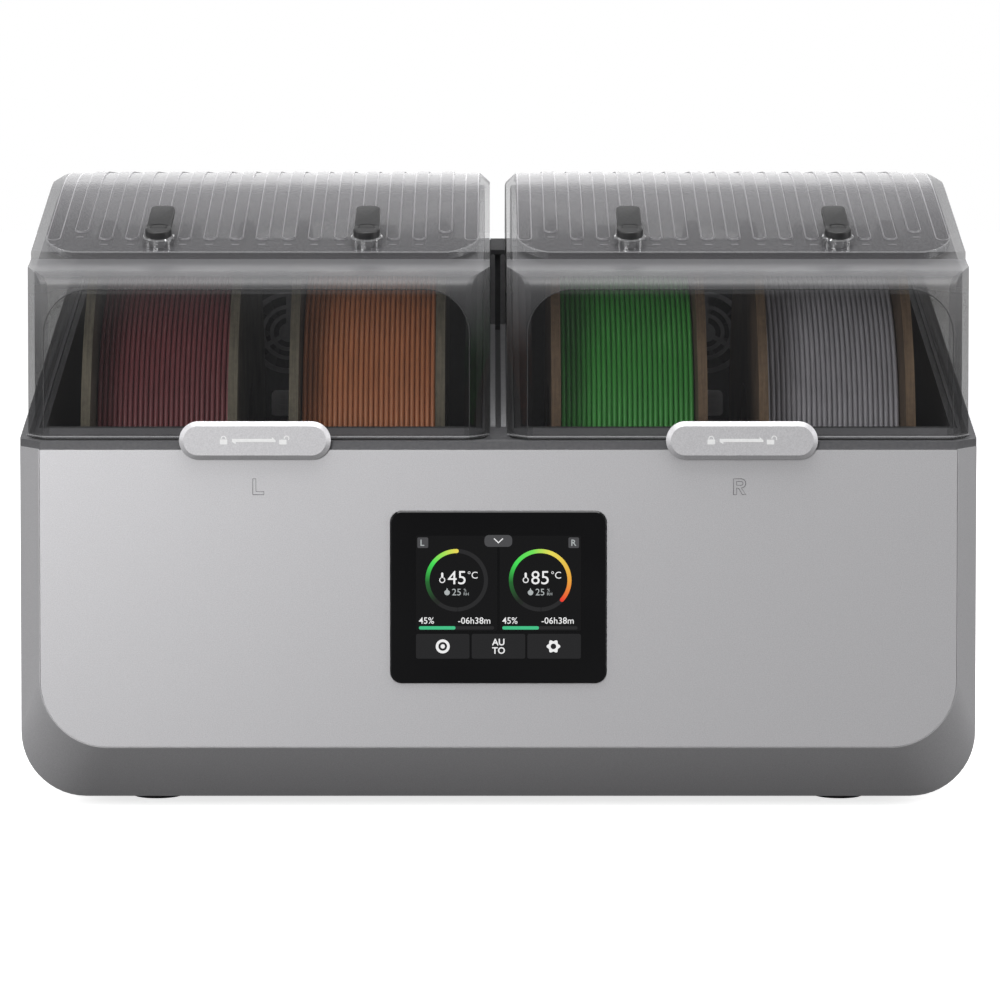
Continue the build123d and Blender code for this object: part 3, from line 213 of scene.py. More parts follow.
# ---- upper frame, bottom plate and back panel ----
# Mouldings in dark grey plastic with a fine spark-eroded texture. The frame carries the chambers, the
# hinges and the tower between the lids; plate and panel are screwed on from outside.
grey = Finish("frame_plastic")
grey.feed("Base Color", grey.shades(grey.noise(700), (0.3, (0.075, 0.075, 0.08)), (0.7, (0.095, 0.095, 0.10))))
grey.feed("Roughness", 0.42 + grey.noise(1500) * 0.16)
grey.bump(grey.noise(2500), 0.00006)
grey.dress("upper_frame", "bottom_plate", "back_panel")

# ---- chambers and what is fixed in them ----
# Black heat-proof liners that hang in the frame, one under each lid, with a fan grille in the rear
# wall and a cradle of rollers on the floor.
black = Finish("chamber_plastic")
black.feed("Base Color", black.shades(black.noise(500), (0.3, (0.014, 0.014, 0.015)), (0.7, (0.024, 0.024, 0.026))))
black.feed("Roughness", 0.4 + black.noise(1200) * 0.2)
black.bump(black.noise(2200), 0.00008)
black.dress("chamber_left", "chamber_right", "fan_frames", "fan_rotor_left", "fan_rotor_right",
            "roller_cradle_left", "roller_cradle_right", "power_inlet",
            "switch_housing", "switch_rocker")

vent = Finish("grille_plastic")
vent.feed("Base Color", vent.shades(vent.noise(500), (0.3, (0.10, 0.10, 0.105)), (0.7, (0.13, 0.13, 0.135))))
vent.feed("Roughness", 0.4 + vent.noise(1200) * 0.2)
vent.dress("fan_grilles")

# ---- seals and feet ----
# Black nitrile rubber: squeezed strips under the lids' lips, and turned feet glued into pads.
rubber = Finish("black_rubber")
rubber.feed("Base Color", rubber.shades(rubber.noise(400), (0.3, (0.012, 0.012, 0.012)), (0.7, (0.022, 0.022, 0.023))))
rubber.feed("Roughness", 0.5 + rubber.noise(900) * 0.2)
rubber.bump(rubber.noise(1800), 0.00005)
rubber.dress("rim_seal_left", "rim_seal_right", "rubber_feet")

# ---- lids ----
# Injection moulded clear polycarbonate boxes, polished, with a raised visor in a smoke tint that is
# clipped into the roof. Painted reflection lightens the shells' shoulders and the visors towards their crest, and a
# painted highlight runs round each rib.
LID_HW = 0.0970            # half width of a lid
WINDOW_HW = 0.0887         # half width of the flat window in the front of each lid
WINDOW_TOP = 0.2180
WINDOW_R = 0.0187          # round upper corners of the window
WINDOW_DEPTH = 0.0125      # the window lies in front of this depth


def in_window(finish):
    """1 on the flat window of either lid and 0 on the curved shoulder round it."""
    apart = finish.node("ShaderNodeSeparateXYZ", {}, {"Vector": finish.place()}, "X")
    depth = Term(finish, apart.socket.node.outputs["Y"])
    height = Term(finish, apart.socket.node.outputs["Z"])
    across = apart.math("ABSOLUTE", apart.math("ABSOLUTE", apart) - LID_X) - (WINDOW_HW - WINDOW_R)
    above = height - (WINDOW_TOP - WINDOW_R)
    out_x = across.math("MAXIMUM", across, 0)
    out_z = above.math("MAXIMUM", above, 0)
    corner = (out_x ** 2 + out_z ** 2) ** 0.5
    return corner.math("LESS_THAN", corner, WINDOW_R) * depth.math("LESS_THAN", depth, FRONT + WINDOW_DEPTH)


clear = Finish("clear_lid", IOR=1.55, Specular_IOR_Level=0.7)
window_mask = in_window(clear)
clear_edge = clear.node("ShaderNodeLayerWeight", {}, {"Blend": 0.5}, "Facing")
clear_place = clear.node("ShaderNodeSeparateXYZ", {}, {"Vector": clear.place()}, "Z")
# Painted reflection: outside the flat window and above 190 mm, the shell's colour is lightened and made more opaque
# where the curved shoulder would reflect the lights. A faint random tone is mixed in.
shoulder = clear_place.math("MINIMUM", clear_place.math("MAXIMUM", (clear_place - 0.190) * 30, 0), 1)
shoulder_sheen = (1 - window_mask) * shoulder + clear.noise(8) * 0.05
clear.feed("Base Color", clear.shades(shoulder_sheen, (0.0, (0.030, 0.030, 0.032)), (1.0, (0.19, 0.19, 0.197))))
clear.feed("Roughness", 0.03 + shoulder * 0.3 + clear.noise(40) * 0.02)
clear.feed("Alpha", 0.11 + shoulder_sheen * 0.10 + clear_edge ** 2.0 * 0.62)
clear.dress("lid_shell_left", "lid_shell_right")
smoked = Finish("smoked_visor", IOR=1.5)
VISOR_Z = 0.2332           # height of the visor's front edge
RIB_PITCH = 0.01117
RIB_HW = 0.0028
RIB_FRONT = 0.050          # depth of the ribs' front ends
RIB_BACK = 0.224
RIB_HIGHLIGHT_HW = 0.00024       # half width of the bright line round a rib
DASH_AHEAD = 0.0075        # short dash in front of each rib
DASH_HW = 0.0016


def rib_highlight_outline(finish):
    """1 along the outline of each rib and 0 elsewhere."""
    apart = finish.node("ShaderNodeSeparateXYZ", {}, {"Vector": finish.place()}, "X")
    depth = Term(finish, apart.socket.node.outputs["Y"]) - FRONT
    across = apart.math("ABSOLUTE", apart.math("ABSOLUTE", apart) - LID_X)
    rib = across.math("ROUND", across / RIB_PITCH)
    beside_port = rib.math("COMPARE", rib, 4)
    outermost = rib.math("COMPARE", rib, 7)
    front = RIB_FRONT + RIB_HW + (beside_port + outermost) * 0.008
    off_x = across - rib * RIB_PITCH
    off_front = depth.math("MAXIMUM", front - depth, 0)
    off_back = depth.math("MAXIMUM", depth - (RIB_BACK - RIB_HW), 0)
    reach = (off_x * off_x + off_front ** 2 + off_back ** 2) ** 0.5
    outline = reach.math("LESS_THAN", reach.math("ABSOLUTE", reach - RIB_HW), RIB_HIGHLIGHT_HW)
    ahead = depth.math("ABSOLUTE", front - depth - DASH_AHEAD)
    dash = reach.math("LESS_THAN", ahead, RIB_HIGHLIGHT_HW) * reach.math("LESS_THAN", off_x.math("ABSOLUTE", off_x), DASH_HW)
    return outline + dash


# Painted highlight: a bright line round each rib and a dash ahead of it, lighter and more opaque than the rest of the
# visor.
rib_highlight_mask = rib_highlight_outline(smoked)
smoked_height = smoked.node("ShaderNodeSeparateXYZ", {}, {"Vector": smoked.place()}, "Z")
# Painted reflection: the visor's colour grows lighter from its front edge up to the crest, on top of its smoke tint and
# a faint random tone.
climb = (smoked_height - VISOR_Z) / (0.2685 - VISOR_Z)
visor_tint_and_sheen = 0.10 + climb ** 2 * 0.6 + rib_highlight_mask * 0.35 + smoked.noise(8) * 0.03
smoked.feed("Base Color", smoked.shades(visor_tint_and_sheen, (0.0, (0.045, 0.044, 0.048)), (1.0, (0.36, 0.355, 0.37))))
smoked.feed("Roughness", 0.2 + smoked.noise(60) * 0.04)
smoked.feed("Alpha", 0.70 + rib_highlight_mask * 0.2)
smoked.dress("lid_visor_left", "lid_visor_right")

# Painted shade: a thin dark translucent line drawn round each window, where the flat window meets the curved shoulder.
dark_bead = Finish("window_edge_painted_shade", IOR=1.5)
dark_bead.feed("Base Color", dark_bead.shades(dark_bead.noise(300), (0.3, (0.05, 0.05, 0.052)), (0.7, (0.07, 0.07, 0.072))))
dark_bead.feed("Roughness", 0.2 + dark_bead.noise(200) * 0.05)
dark_bead.feed("Alpha", 0.45 + dark_bead.noise(200) * 0.1)
# Painted highlight: pale translucent lines drawn along each visor's front edge and along each lid's foot, where these
# edges would catch the light.
bead = Finish("painted_highlight_bead", IOR=1.5, Specular_IOR_Level=0.8)
bead.feed("Base Color", bead.shades(bead.noise(300), (0.3, (0.40, 0.40, 0.41)), (0.7, (0.50, 0.50, 0.51))))
bead.feed("Roughness", 0.12 + bead.noise(200) * 0.05)
bead.feed("Alpha", 0.30 + bead.noise(200) * 0.1)
BEAD_R = 0.00022
WINDOW_FOOT = 0.1590
SLOPE = radians(21.1)      # slope of the visor
VISOR_FRONT = 0.037        # depth of the visor's front edge
BROW_R = 0.020             # curve of the visor's front corners
BROW_X = 0.0727            # its centre, from the middle of the lid
BROW_DEPTH = 0.05574       # and its depth
for side, name in ((-1, "left"), (1, "right")):
    turns = [pi / 2 * i / 8 for i in range(9)]
    right = [(WINDOW_HW - WINDOW_R + WINDOW_R * cos(a), WINDOW_TOP - WINDOW_R + WINDOW_R * sin(a)) for a in turns]
    arch = [(WINDOW_HW, WINDOW_FOOT)] + right + [(-x, z) for x, z in reversed(right)] + [(-WINDOW_HW, WINDOW_FOOT)]
    path = [(side * LID_X + x, FRONT + 0.008 + 0.002 * (z - 0.156) / 0.061, z) for x, z in arch]
    settle(stroke(f"window_edge_{name}", path, BEAD_R), f"lid_{name}", dark_bead)

for side, name in ((-1, "left"), (1, "right")):
    turns = [radians(20.5 + 68.8 * i / 8) for i in range(9)]
    corner = [(BROW_X + BROW_R * sin(turn), BROW_DEPTH - BROW_R * cos(turn)) for turn in turns]
    brow = [(-x, depth) for x, depth in reversed(corner)] + corner
    path = [
        (side * LID_X + x, FRONT + depth, VISOR_Z + (depth - VISOR_FRONT) * tan(SLOPE))
        for x, depth in brow
    ]
    settle(stroke(f"visor_edge_{name}", path, 0.00035), f"lid_{name}", bead)
    foot = [(-LID_HW, 0.0215), (-LID_HW + 0.0085, 0.0037), (LID_HW - 0.0085, 0.0037), (LID_HW, 0.0215)]
    path = [(side * LID_X + x, FRONT + depth, 0.1569) for x, depth in foot]
    settle(stroke(f"lip_edge_{name}", path, 0.0004), f"lid_{name}", bead)

# ---- outlet fittings and plugs ----
# A turned clear collar on each outlet holds a moulded rubber plug, whose flat tab is pulled to free
# it. The plug's head is round and its edges are soft.
SPOOL_X = (-0.1445, -0.056, 0.056, 0.1445)
PORT_Y = FRONT + 0.0455
PORT_Z = 0.2334 + 0.0085 * tan(SLOPE)
PORT_H = 0.0042


def lathe(name, profile, axis, steps=48):
    """Closed turned piece about an axis through the origin, from a profile of points."""
    piece = trace(name, profile)
    bpy.ops.mesh.spin(steps=steps, angle=2 * pi, center=(0, 0, 0), axis=axis)
    bpy.ops.mesh.select_all(action="SELECT")
    bpy.ops.mesh.remove_doubles(threshold=0.000002)
    bpy.ops.mesh.normals_make_consistent(inside=False)
    bpy.ops.object.mode_set(mode="OBJECT")
    bpy.ops.object.shade_smooth_by_angle(angle=radians(35))
    return piece


def put(piece, name, place, tilt=0.0):
    """Copy of a piece with its own mesh, tilted about X and moved to its place."""
    bpy.ops.object.select_all(action="DESELECT")
    piece.select_set(True)
    bpy.context.view_layer.objects.active = piece
    bpy.ops.object.duplicate(linked=False)
    made = bpy.context.object
    made.name = name
    made.rotation_euler = (tilt, 0, 0)
    made.location = place
    bpy.ops.object.transform_apply(location=True, rotation=True, scale=True)
    return made


def discard(piece):
    """Remove a model that was only there to be copied."""
    bpy.data.objects.remove(piece)


crystal = Finish("clear_collar", IOR=1.55, Specular_IOR_Level=1.0)
crystal.feed("Base Color", crystal.shades(crystal.noise(200), (0.3, (0.60, 0.60, 0.61)), (0.7, (0.80, 0.80, 0.81))))
crystal.feed("Roughness", 0.05 + crystal.noise(300) * 0.03)
crystal.feed("Metallic", 0.85 + crystal.noise(300) * 0.1)
crystal.feed("Alpha", 0.40 + crystal.noise(300) * 0.1)
crystal.dress("outlet_fittings_left", "outlet_fittings_right")
HEAD_R = 0.0056
HEAD_H = 0.0032
TAB_T = 0.0025
EDGE_R = 0.0007
head_edge = [pi / 2 * i / 4 for i in range(5)]
head_profile = [(0.00001, 0, -0.004), (0.0031, 0, -0.004), (0.0031, 0, PORT_H), (HEAD_R, 0, PORT_H)]
head_profile += [(HEAD_R - EDGE_R + EDGE_R * cos(a), 0, PORT_H + HEAD_H - EDGE_R + EDGE_R * sin(a)) for a in head_edge]
head_profile += [(HEAD_R - 0.0018, 0, PORT_H + HEAD_H), (HEAD_R - 0.0022, 0, PORT_H + HEAD_H - 0.0003), (0.00001, 0, PORT_H + HEAD_H - 0.0003)]
plug_head = lathe("plug_head", head_profile, (0, 0, 1))
TAB_HW = 0.0052
TAB_END = 0.027
CORNER = 0.0032
corner_turn = [pi / 2 * i / 6 for i in range(7)]
tab_outline = [(TAB_HW, 0.002, 0)] + [(TAB_HW - CORNER + CORNER * cos(a), TAB_END - CORNER + CORNER * sin(a), 0) for a in corner_turn]
tab_outline += [(-x, y, z) for x, y, z in reversed(tab_outline)]
plug_tab = trace("plug_tab", tab_outline)
bpy.ops.mesh.edge_face_add()
bpy.ops.mesh.extrude_region_move(TRANSFORM_OT_translate={"value": (0, 0, TAB_T)})
bpy.ops.mesh.select_all(action="SELECT")
bpy.ops.mesh.normals_make_consistent(inside=False)
bpy.ops.transform.translate(value=(0, 0, PORT_H + HEAD_H - TAB_T))
bpy.ops.object.mode_set(mode="OBJECT")
soften = plug_tab.modifiers.new("soften", "BEVEL")
soften.width = 0.0006
soften.segments = 3
bpy.ops.object.modifier_apply(modifier="soften")
bpy.ops.object.shade_smooth_by_angle(angle=radians(35))
bpy.ops.object.select_all(action="DESELECT")
plug_head.select_set(True)
plug_tab.select_set(True)
bpy.context.view_layer.objects.active = plug_head
bpy.ops.object.join()
plug_finish = Finish("plug_rubber")
plug_finish.feed("Base Color", plug_finish.shades(plug_finish.noise(500), (0.3, (0.010, 0.010, 0.0105)), (0.7, (0.017, 0.017, 0.018))))
plug_finish.feed("Roughness", 0.42 + plug_finish.noise(900) * 0.15)
plug_finish.bump(plug_finish.noise(1600), 0.00004)
for number, x in enumerate(SPOOL_X, 1):
    plug = put(plug_head, f"plug_{number}", (x, PORT_Y, PORT_Z), SLOPE)
    settle(plug, f"outlet_plug_{number}", plug_finish, f"outlet_plug_{number}")
discard(plug_head)

# ---- spools ----
# Pressed cardboard flanges and hub, with a paper face and a raw, laminated rim.
for number, (dark, light) in enumerate((((0.050, 0.044, 0.030), (0.115, 0.100, 0.070)),) * 2
                                       + (((0.060, 0.036, 0.018), (0.125, 0.080, 0.045)),) * 2, 1):
    card = Finish(f"spool_card_{number}")
    layers = card.noise(60, 6, (30, 1, 1))
    fibres = card.noise(500, 6)
    card.feed("Base Color", card.shades(layers * 0.6 + fibres * 0.4, (0.35, dark), (0.65, light)))
    card.feed("Roughness", 0.8 + fibres * 0.15)
    card.bump(layers * 0.5 + fibres * 0.5, 0.0002)
    card.dress(f"spool_{number}")

# ---- filament ----
# 1.75 mm plastic filament wound side by side, so that each winding shows as a rounded ridge with a
# dark valley beside it. The turns sit a little unevenly.
WIND_HW = 0.02885          # half width of the winding
WIND_R = 0.078
TURNS = 26
SPOOL_Y = FRONT + 0.141
SPOOL_Z = 0.147
STRAND = 2 * WIND_HW / TURNS
filament_colours = ((0.175, 0.042, 0.048), (0.46, 0.17, 0.072), (0.045, 0.31, 0.045), (0.33, 0.32, 0.345))
for number, colour in enumerate(filament_colours, 1):
    profile = [(-WIND_HW, 0, 0.0302)]
    for turn in range(TURNS):
        lift = random.uniform(-0.0001, 0.0)
        for i in range(6):
            ridge = sin(pi * i / 6) ** 0.5 if i else -0.35
            profile.append((-WIND_HW + (turn + i / 6) * STRAND, 0, WIND_R - 0.0011 + lift + 0.0011 * ridge))
    profile += [(WIND_HW, 0, WIND_R - 0.0011), (WIND_HW, 0, 0.0302)]
    coil = lathe(f"coil_{number}", profile, (1, 0, 0), 96)
    winding = put(coil, f"winding_{number}", (SPOOL_X[number - 1], SPOOL_Y, SPOOL_Z))
    discard(coil)
    wound = Finish(f"filament_{number}", IOR=1.45)
    streak = wound.noise(60, 3, (8, 1, 1))
    wound.feed("Base Color", wound.shades(streak, (0.3, [c * 0.9 for c in colour]), (0.7, [c * 1.1 for c in colour])))
    wound.feed("Roughness", 0.34 + wound.noise(300) * 0.12)
    settle(winding, f"spool_{number}", wound, f"filament_{number}")

# ---- rollers, pins, screws and boards ----
# Ground steel rollers and pins, zinc-plated screws, aluminium heaters and circuit boards.
steel = Finish("ground_steel", Metallic=1.0)
steel.feed("Base Color", steel.shades(steel.noise(900), (0.3, (0.5, 0.5, 0.51)), (0.7, (0.62, 0.62, 0.63))))
steel.feed("Roughness", 0.25 + steel.noise(2000) * 0.15)
steel.dress("roller_axles", "hinge_pins", "bottom_plate_screws", "back_panel_screws", "board_screws",
            "heater_left", "heater_right", "power_supply", "display_module")
for place in ("front", "rear"):
    for number in range(1, 5):
        steel.dress(f"roller_{place}_{number}")
board = Finish("board_mask", Roughness=0.45)
board.feed("Base Color", board.shades(board.noise(90), (0.3, (0.01, 0.08, 0.03)), (0.7, (0.02, 0.12, 0.05))))
board.dress("control_board", "driver_board")

# ---- latches ----
# Sliding buttons sprayed in a light grey, each printed with a closed padlock, a pair of arrows and
# an open padlock in white ink.
latch_paint = Finish("latch_paint", Metallic=0.35)
latch_paint.feed("Base Color", latch_paint.shades(latch_paint.noise(1800), (0.3, (0.50, 0.495, 0.51)), (0.7, (0.60, 0.595, 0.61))))
latch_paint.feed("Roughness", 0.42 + latch_paint.noise(900) * 0.1)
latch_paint.dress("latch_left", "latch_right", "humidity_sensors")
LATCH_FACE = FRONT - 0.003
LATCH_Z = 0.1556
PRINT_T = 0.00003


def plate(name, outline, x, front, z, thickness):
    """Flat piece on an upright surface: an outline filled and pulled forward."""
    piece = trace(name, [(x + u, front, z + v) for u, v in outline])
    bpy.ops.mesh.edge_face_add()
    bpy.ops.mesh.extrude_region_move(TRANSFORM_OT_translate={"value": (0, -thickness, 0)})
    bpy.ops.mesh.select_all(action="SELECT")
    bpy.ops.mesh.normals_make_consistent(inside=False)
    bpy.ops.object.mode_set(mode="OBJECT")
    return piece


def rounded(x0, x1, z0, z1, radius, steps=4):
    """Outline of a rectangle with round corners."""
    centres = ((x1 - radius, z1 - radius, 0), (x0 + radius, z1 - radius, 1), (x0 + radius, z0 + radius, 2),
               (x1 - radius, z0 + radius, 3))
    turns = [(u, v, pi / 2 * (q + i / steps)) for u, v, q in centres for i in range(steps + 1)]
    return [(u + radius * cos(a), v + radius * sin(a)) for u, v, a in turns]


def band(radius, width, start, end, steps=24):
    """Outline of a circular band; angles are clockwise from the top."""
    turns = [start + (end - start) * i / steps for i in range(steps + 1)]
    caps = [pi * i / 6 for i in range(1, 6)]
    middle = radius - width / 2
    outline = [(radius * sin(a), radius * cos(a)) for a in turns]
    tip = (middle * sin(end), middle * cos(end))
    outline += [(tip[0] + width / 2 * sin(end + a), tip[1] + width / 2 * cos(end + a)) for a in caps]
    outline += [((radius - width) * sin(a), (radius - width) * cos(a)) for a in reversed(turns)]
    tip = (middle * sin(start), middle * cos(start))
    outline += [(tip[0] + width / 2 * sin(start + pi + a), tip[1] + width / 2 * cos(start + pi + a)) for a in caps]
    return outline


def together(name, pieces):
    """Join flat pieces into one."""
    bpy.ops.object.select_all(action="DESELECT")
    for piece in pieces:
        piece.select_set(True)
    bpy.context.view_layer.objects.active = pieces[0]
    bpy.ops.object.join()
    pieces[0].name = name
    return pieces[0]


print_ink = Finish("white_print", Roughness=0.5)
print_ink.feed("Base Color", print_ink.shades(print_ink.noise(900), (0.3, (0.76, 0.76, 0.76)), (0.7, (0.82, 0.82, 0.82))))
arrow_pair = ((-0.0094, -0.0004), (-0.0078, -0.0014), (-0.0078, -0.0005), (0.0087, -0.0005), (0.0087, 0.0002),
              (0.0071, 0.0016), (0.0071, 0.0008), (-0.0094, 0.0008))
for side, name in ((-1, "left"), (1, "right")):
    marks = [plate("mark", rounded(-0.0144, -0.0113, -0.0015, 0.0006, 0.0003), side * LID_X, LATCH_FACE, LATCH_Z, PRINT_T),
             plate("mark", band(0.0012, 0.00045, -pi / 2, pi / 2, 12), side * LID_X - 0.01285, LATCH_FACE, LATCH_Z + 0.0009, PRINT_T),
             plate("mark", arrow_pair, side * LID_X, LATCH_FACE, LATCH_Z, PRINT_T),
             plate("mark", rounded(0.0101, 0.0132, -0.0015, 0.0005, 0.0003), side * LID_X, LATCH_FACE, LATCH_Z, PRINT_T),
             plate("mark", band(0.0012, 0.00045, -pi / 2, pi / 2 + 0.5, 12), side * LID_X + 0.0132, LATCH_FACE, LATCH_Z + 0.0010, PRINT_T)]
    settle(together(f"latch_marks_{name}", marks), f"latch_{name}", print_ink)

# ---- strips between the lids ----
# Runners pressed onto the spine and up the tower, on both sides of its groove. They guide the
# inner walls of the lids. Their pale grey is painted highlight, standing for the light caught on these ridges.
# Painted highlight: the runners' pale grey, far lighter than the frame, stands for the light caught on the ridges.
runner = Finish("ridge_painted_highlight")
runner.feed("Base Color", runner.shades(runner.noise(700), (0.3, (0.26, 0.26, 0.27)), (0.7, (0.31, 0.31, 0.32))))
runner.feed("Roughness", 0.4 + runner.noise(1500) * 0.15)
TOWER_DEPTH = 0.150
SPINE_START = 0.034
SEAM_TAN = tan(radians(19))


def spine_top(depth):
    """Height of the spine's top at a depth."""
    return 0.1552 + (depth - 0.022) * SEAM_TAN


for side, name in ((-1, "left"), (1, "right")):
    low, high = sorted((side * 0.0012, side * 0.0033))
    corners = ((low, SPINE_START), (high, SPINE_START), (high, TOWER_DEPTH), (low, TOWER_DEPTH))
    strip = trace(f"spine_strip_{name}", [(x, FRONT + depth, spine_top(depth)) for x, depth in corners])
    bpy.ops.mesh.edge_face_add()
    bpy.ops.mesh.extrude_region_move(TRANSFORM_OT_translate={"value": (0, 0, 0.0006)})
    bpy.ops.mesh.select_all(action="SELECT")
    bpy.ops.mesh.normals_make_consistent(inside=False)
    bpy.ops.object.mode_set(mode="OBJECT")
    settle(strip, "housing", runner)
    ridge_outline = rounded(low, high, spine_top(TOWER_DEPTH), 0.2315, 0.00095)
    settle(plate(f"tower_strip_{name}", ridge_outline, 0, FRONT + TOWER_DEPTH, 0, 0.0006), "housing", runner)

# ---- display ----
# A bonded touch screen under black glass. What it shows is one layer of lit shapes: two gauges, two
# progress bars and three buttons. One button holds a plain spool.
glass = Finish("display_glass", Specular_IOR_Level=0.3)
glass.feed("Base Color", glass.shades(glass.noise(20), (0.3, (0.004, 0.004, 0.0045)), (0.7, (0.006, 0.006, 0.0065))))
glass.feed("Roughness", 0.05 + glass.noise(40) * 0.03)
glass.dress("display_glass")
GLASS_FACE = FRONT - 0.0008
SCREEN_X = 0.0
SCREEN_Z = 0.0905
LAYER = 0.00003            # one layer of the picture


def lit(name, *stops, amount=None):
    """Glowing material with a faint grain."""
    made = Finish(name, Roughness=0.4, Specular_IOR_Level=0.0, Emission_Strength=1.0)
    made.feed("Base Color", made.shades(made.noise(3000), (0.3, (0.004, 0.004, 0.004)), (0.7, (0.006, 0.006, 0.006))))
    if len(stops) == 1:
        shade = stops[0]
        stops = ((0.3, [c * 0.94 for c in shade]), (0.7, [min(1.0, c * 1.06) for c in shade]))
    made.feed("Emission Color", made.shades(amount(made) if amount else made.noise(3000), *stops))
    return made


def screen(outlines, layer):
    """Flat shapes on the screen, given in millimetres from its middle."""
    front = GLASS_FACE - layer * LAYER
    return [plate("shape", [(u / 1000, v / 1000) for u, v in outline], SCREEN_X, front, SCREEN_Z, LAYER)
            for outline in outlines]


def words(text, left, bottom, height, weight=0.0):
    """Lettering on the screen, scaled to a height in millimetres; weight thickens it."""
    bpy.ops.object.select_all(action="DESELECT")
    bpy.ops.object.text_add(rotation=(pi / 2, 0, 0))
    made = bpy.context.object
    made.data.body = text
    made.data.offset = weight
    made.data.resolution_u = 3
    bpy.ops.object.convert(target="MESH")
    made = bpy.context.object
    low = [min(v.co[i] for v in made.data.vertices) for i in (0, 1)]
    high = max(v.co[1] for v in made.data.vertices)
    size = height / 1000 / (high - low[1])
    made.scale = (size, size, size)
    made.location = (SCREEN_X + left / 1000 - low[0] * size, GLASS_FACE - 4 * LAYER, SCREEN_Z + bottom / 1000 - low[1] * size)
    bpy.ops.object.transform_apply(location=True, rotation=True, scale=True)
    return made


tile_shapes = [rounded(-34.2, -0.5, -14.0, 25.6, 0.8), rounded(0.5, 34.2, -14.0, 25.6, 0.8)]
settle(together("screen_halves", screen(tile_shapes, 1)), "housing", lit("tile_dark", (0.0065, 0.0065, 0.007)))
button_shapes = [rounded(x, x + 22.2, -25.5, -15.2, 0.8) for x in (-34.2, -11.1, 12.0)]
settle(together("screen_buttons", screen(button_shapes, 1)), "housing", lit("tile_grey", (0.019, 0.019, 0.020)))
tag_shapes = [rounded(-33.6, -29.1, 20.5, 24.9, 0.6), rounded(29.0, 33.4, 20.5, 24.9, 0.6),
              rounded(-5.8, 5.7, 21.0, 25.9, 1.8)]
settle(together("screen_tags", screen(tag_shapes, 2)), "housing", lit("tag_grey", (0.070, 0.070, 0.074)))

GAUGE_X = 17.3
GAUGE_Z = 7.1
GAUGE_R = 13.0
GAUGE_W = 1.7
gauge_rings = []
bar_tracks = []
bar_fills = []
for side in (-1, 1):
    whole = band(GAUGE_R, GAUGE_W, -pi * 0.999, pi * 0.98, 64)
    gauge_rings += [[(side * GAUGE_X + u, GAUGE_Z + v) for u, v in whole]]
    middle = side * GAUGE_X - 0.1
    bar_tracks.append(rounded(middle - 15.6, middle + 15.6, -13.4, -12.0, 0.69))
    bar_fills.append(rounded(middle - 15.6, middle - 0.4, -13.4, -12.0, 0.69))
settle(together("screen_tracks", screen(gauge_rings + bar_tracks, 2)), "housing", lit("track_grey", (0.022, 0.022, 0.023)))
settle(together("screen_progress", screen(bar_fills, 3)), "housing", lit("progress_green", (0.06, 0.52, 0.24)))

cool = ((0.13, (0.018, 0.022, 0.018)), (0.24, (0.02, 0.13, 0.03)), (0.35, (0.06, 0.72, 0.10)))
gauges = ((-1, "left", 0.0, cool + ((0.43, (0.38, 0.76, 0.10)), (0.50, (0.82, 0.68, 0.10)))),
          (1, "right", radians(132), cool + ((0.46, (0.16, 0.75, 0.10)), (0.56, (0.80, 0.70, 0.10)), (0.75, (0.80, 0.36, 0.05)),
                                             (0.87, (0.85, 0.05, 0.03)))))
for side, name, end, stops in gauges:
    centre = (SCREEN_X + side * GAUGE_X / 1000, SCREEN_Z + GAUGE_Z / 1000)

    def turn(finish, centre=centre):
        """Part of a turn clockwise from the bottom of the gauge."""
        apart = finish.node("ShaderNodeSeparateXYZ", {}, {"Vector": finish.place()}, "X")
        up = Term(finish, apart.socket.node.outputs["Z"])
        across = apart - centre[0]
        return across.math("ARCTAN2", across, up - centre[1]) / (2 * pi) + 0.5

    arc = band(GAUGE_R, GAUGE_W, -radians(140), end, 40)
    shape = screen([[(side * GAUGE_X + u, GAUGE_Z + v) for u, v in arc]], 3)[0]
    shape.name = f"screen_gauge_{name}"
    settle(shape, "housing", lit(f"gauge_{name}", *stops, amount=turn))

readouts = []
captions = [words("L", -32.3, 21.4, 2.6, 0.01), words("R", 30.2, 21.4, 2.6, 0.01)]
for side, degrees in ((-1, "45"), (1, "85")):
    middle = side * GAUGE_X
    readouts.append(words(degrees, middle - 3.7, 5.4, 5.6))
    readouts.append(words("°C", middle + 4.6, 7.8, 3.0))
    captions.append(words("25", middle - 1.9, 0.8, 2.8))
    captions.append(words("%", middle + 2.9, 2.4, 1.2))
    captions.append(words("RH", middle + 2.9, 0.8, 1.2))
    readouts.append(words("45%", middle - 15.7, -11.0, 2.7, 0.004))
    readouts.append(words("-06h38m", middle + 0.6, -11.0, 2.7, 0.004))
    tube = [(middle - 6.0 + u, 7.2 + v) for u, v in band(1.25, 0.4, radians(35), radians(325), 16)]
    neck = [(middle - 6.0 + u, 8.1 + v) for u, v in rounded(-0.45, 0.45, 0.0, 2.2, 0.4)]
    drop = [(middle - 4.0 + 1.15 * sin(a) * (1 if cos(a) < 0.3 else 1.3 - cos(a)), 2.1 + 1.25 * cos(a) + (0.5 if cos(a) > 0.9 else 0))
            for a in [2 * pi * i / 24 for i in range(24)]]
    readouts += screen([tube, neck], 4)
    captions += screen([drop], 4)
readouts += [words("AU", -2.7, -20.0, 2.8, 0.02), words("TO", -2.6, -23.5, 2.8, 0.02)]
readouts += screen([((-2.0, 24.3), (-1.7, 24.6), (0.0, 23.0), (1.7, 24.6), (2.0, 24.3), (0.0, 22.4))], 4)
GEAR = (22.8, -20.4)
SPOOL_MARK = (-23.1, -20.4)
gear_turns = [2 * pi * i / 48 for i in range(49)]
gear = [(GEAR[0] + (2.5 - 0.37 * cos(6 * a)) * sin(a), GEAR[1] + (2.5 - 0.37 * cos(6 * a)) * cos(a)) for a in gear_turns]
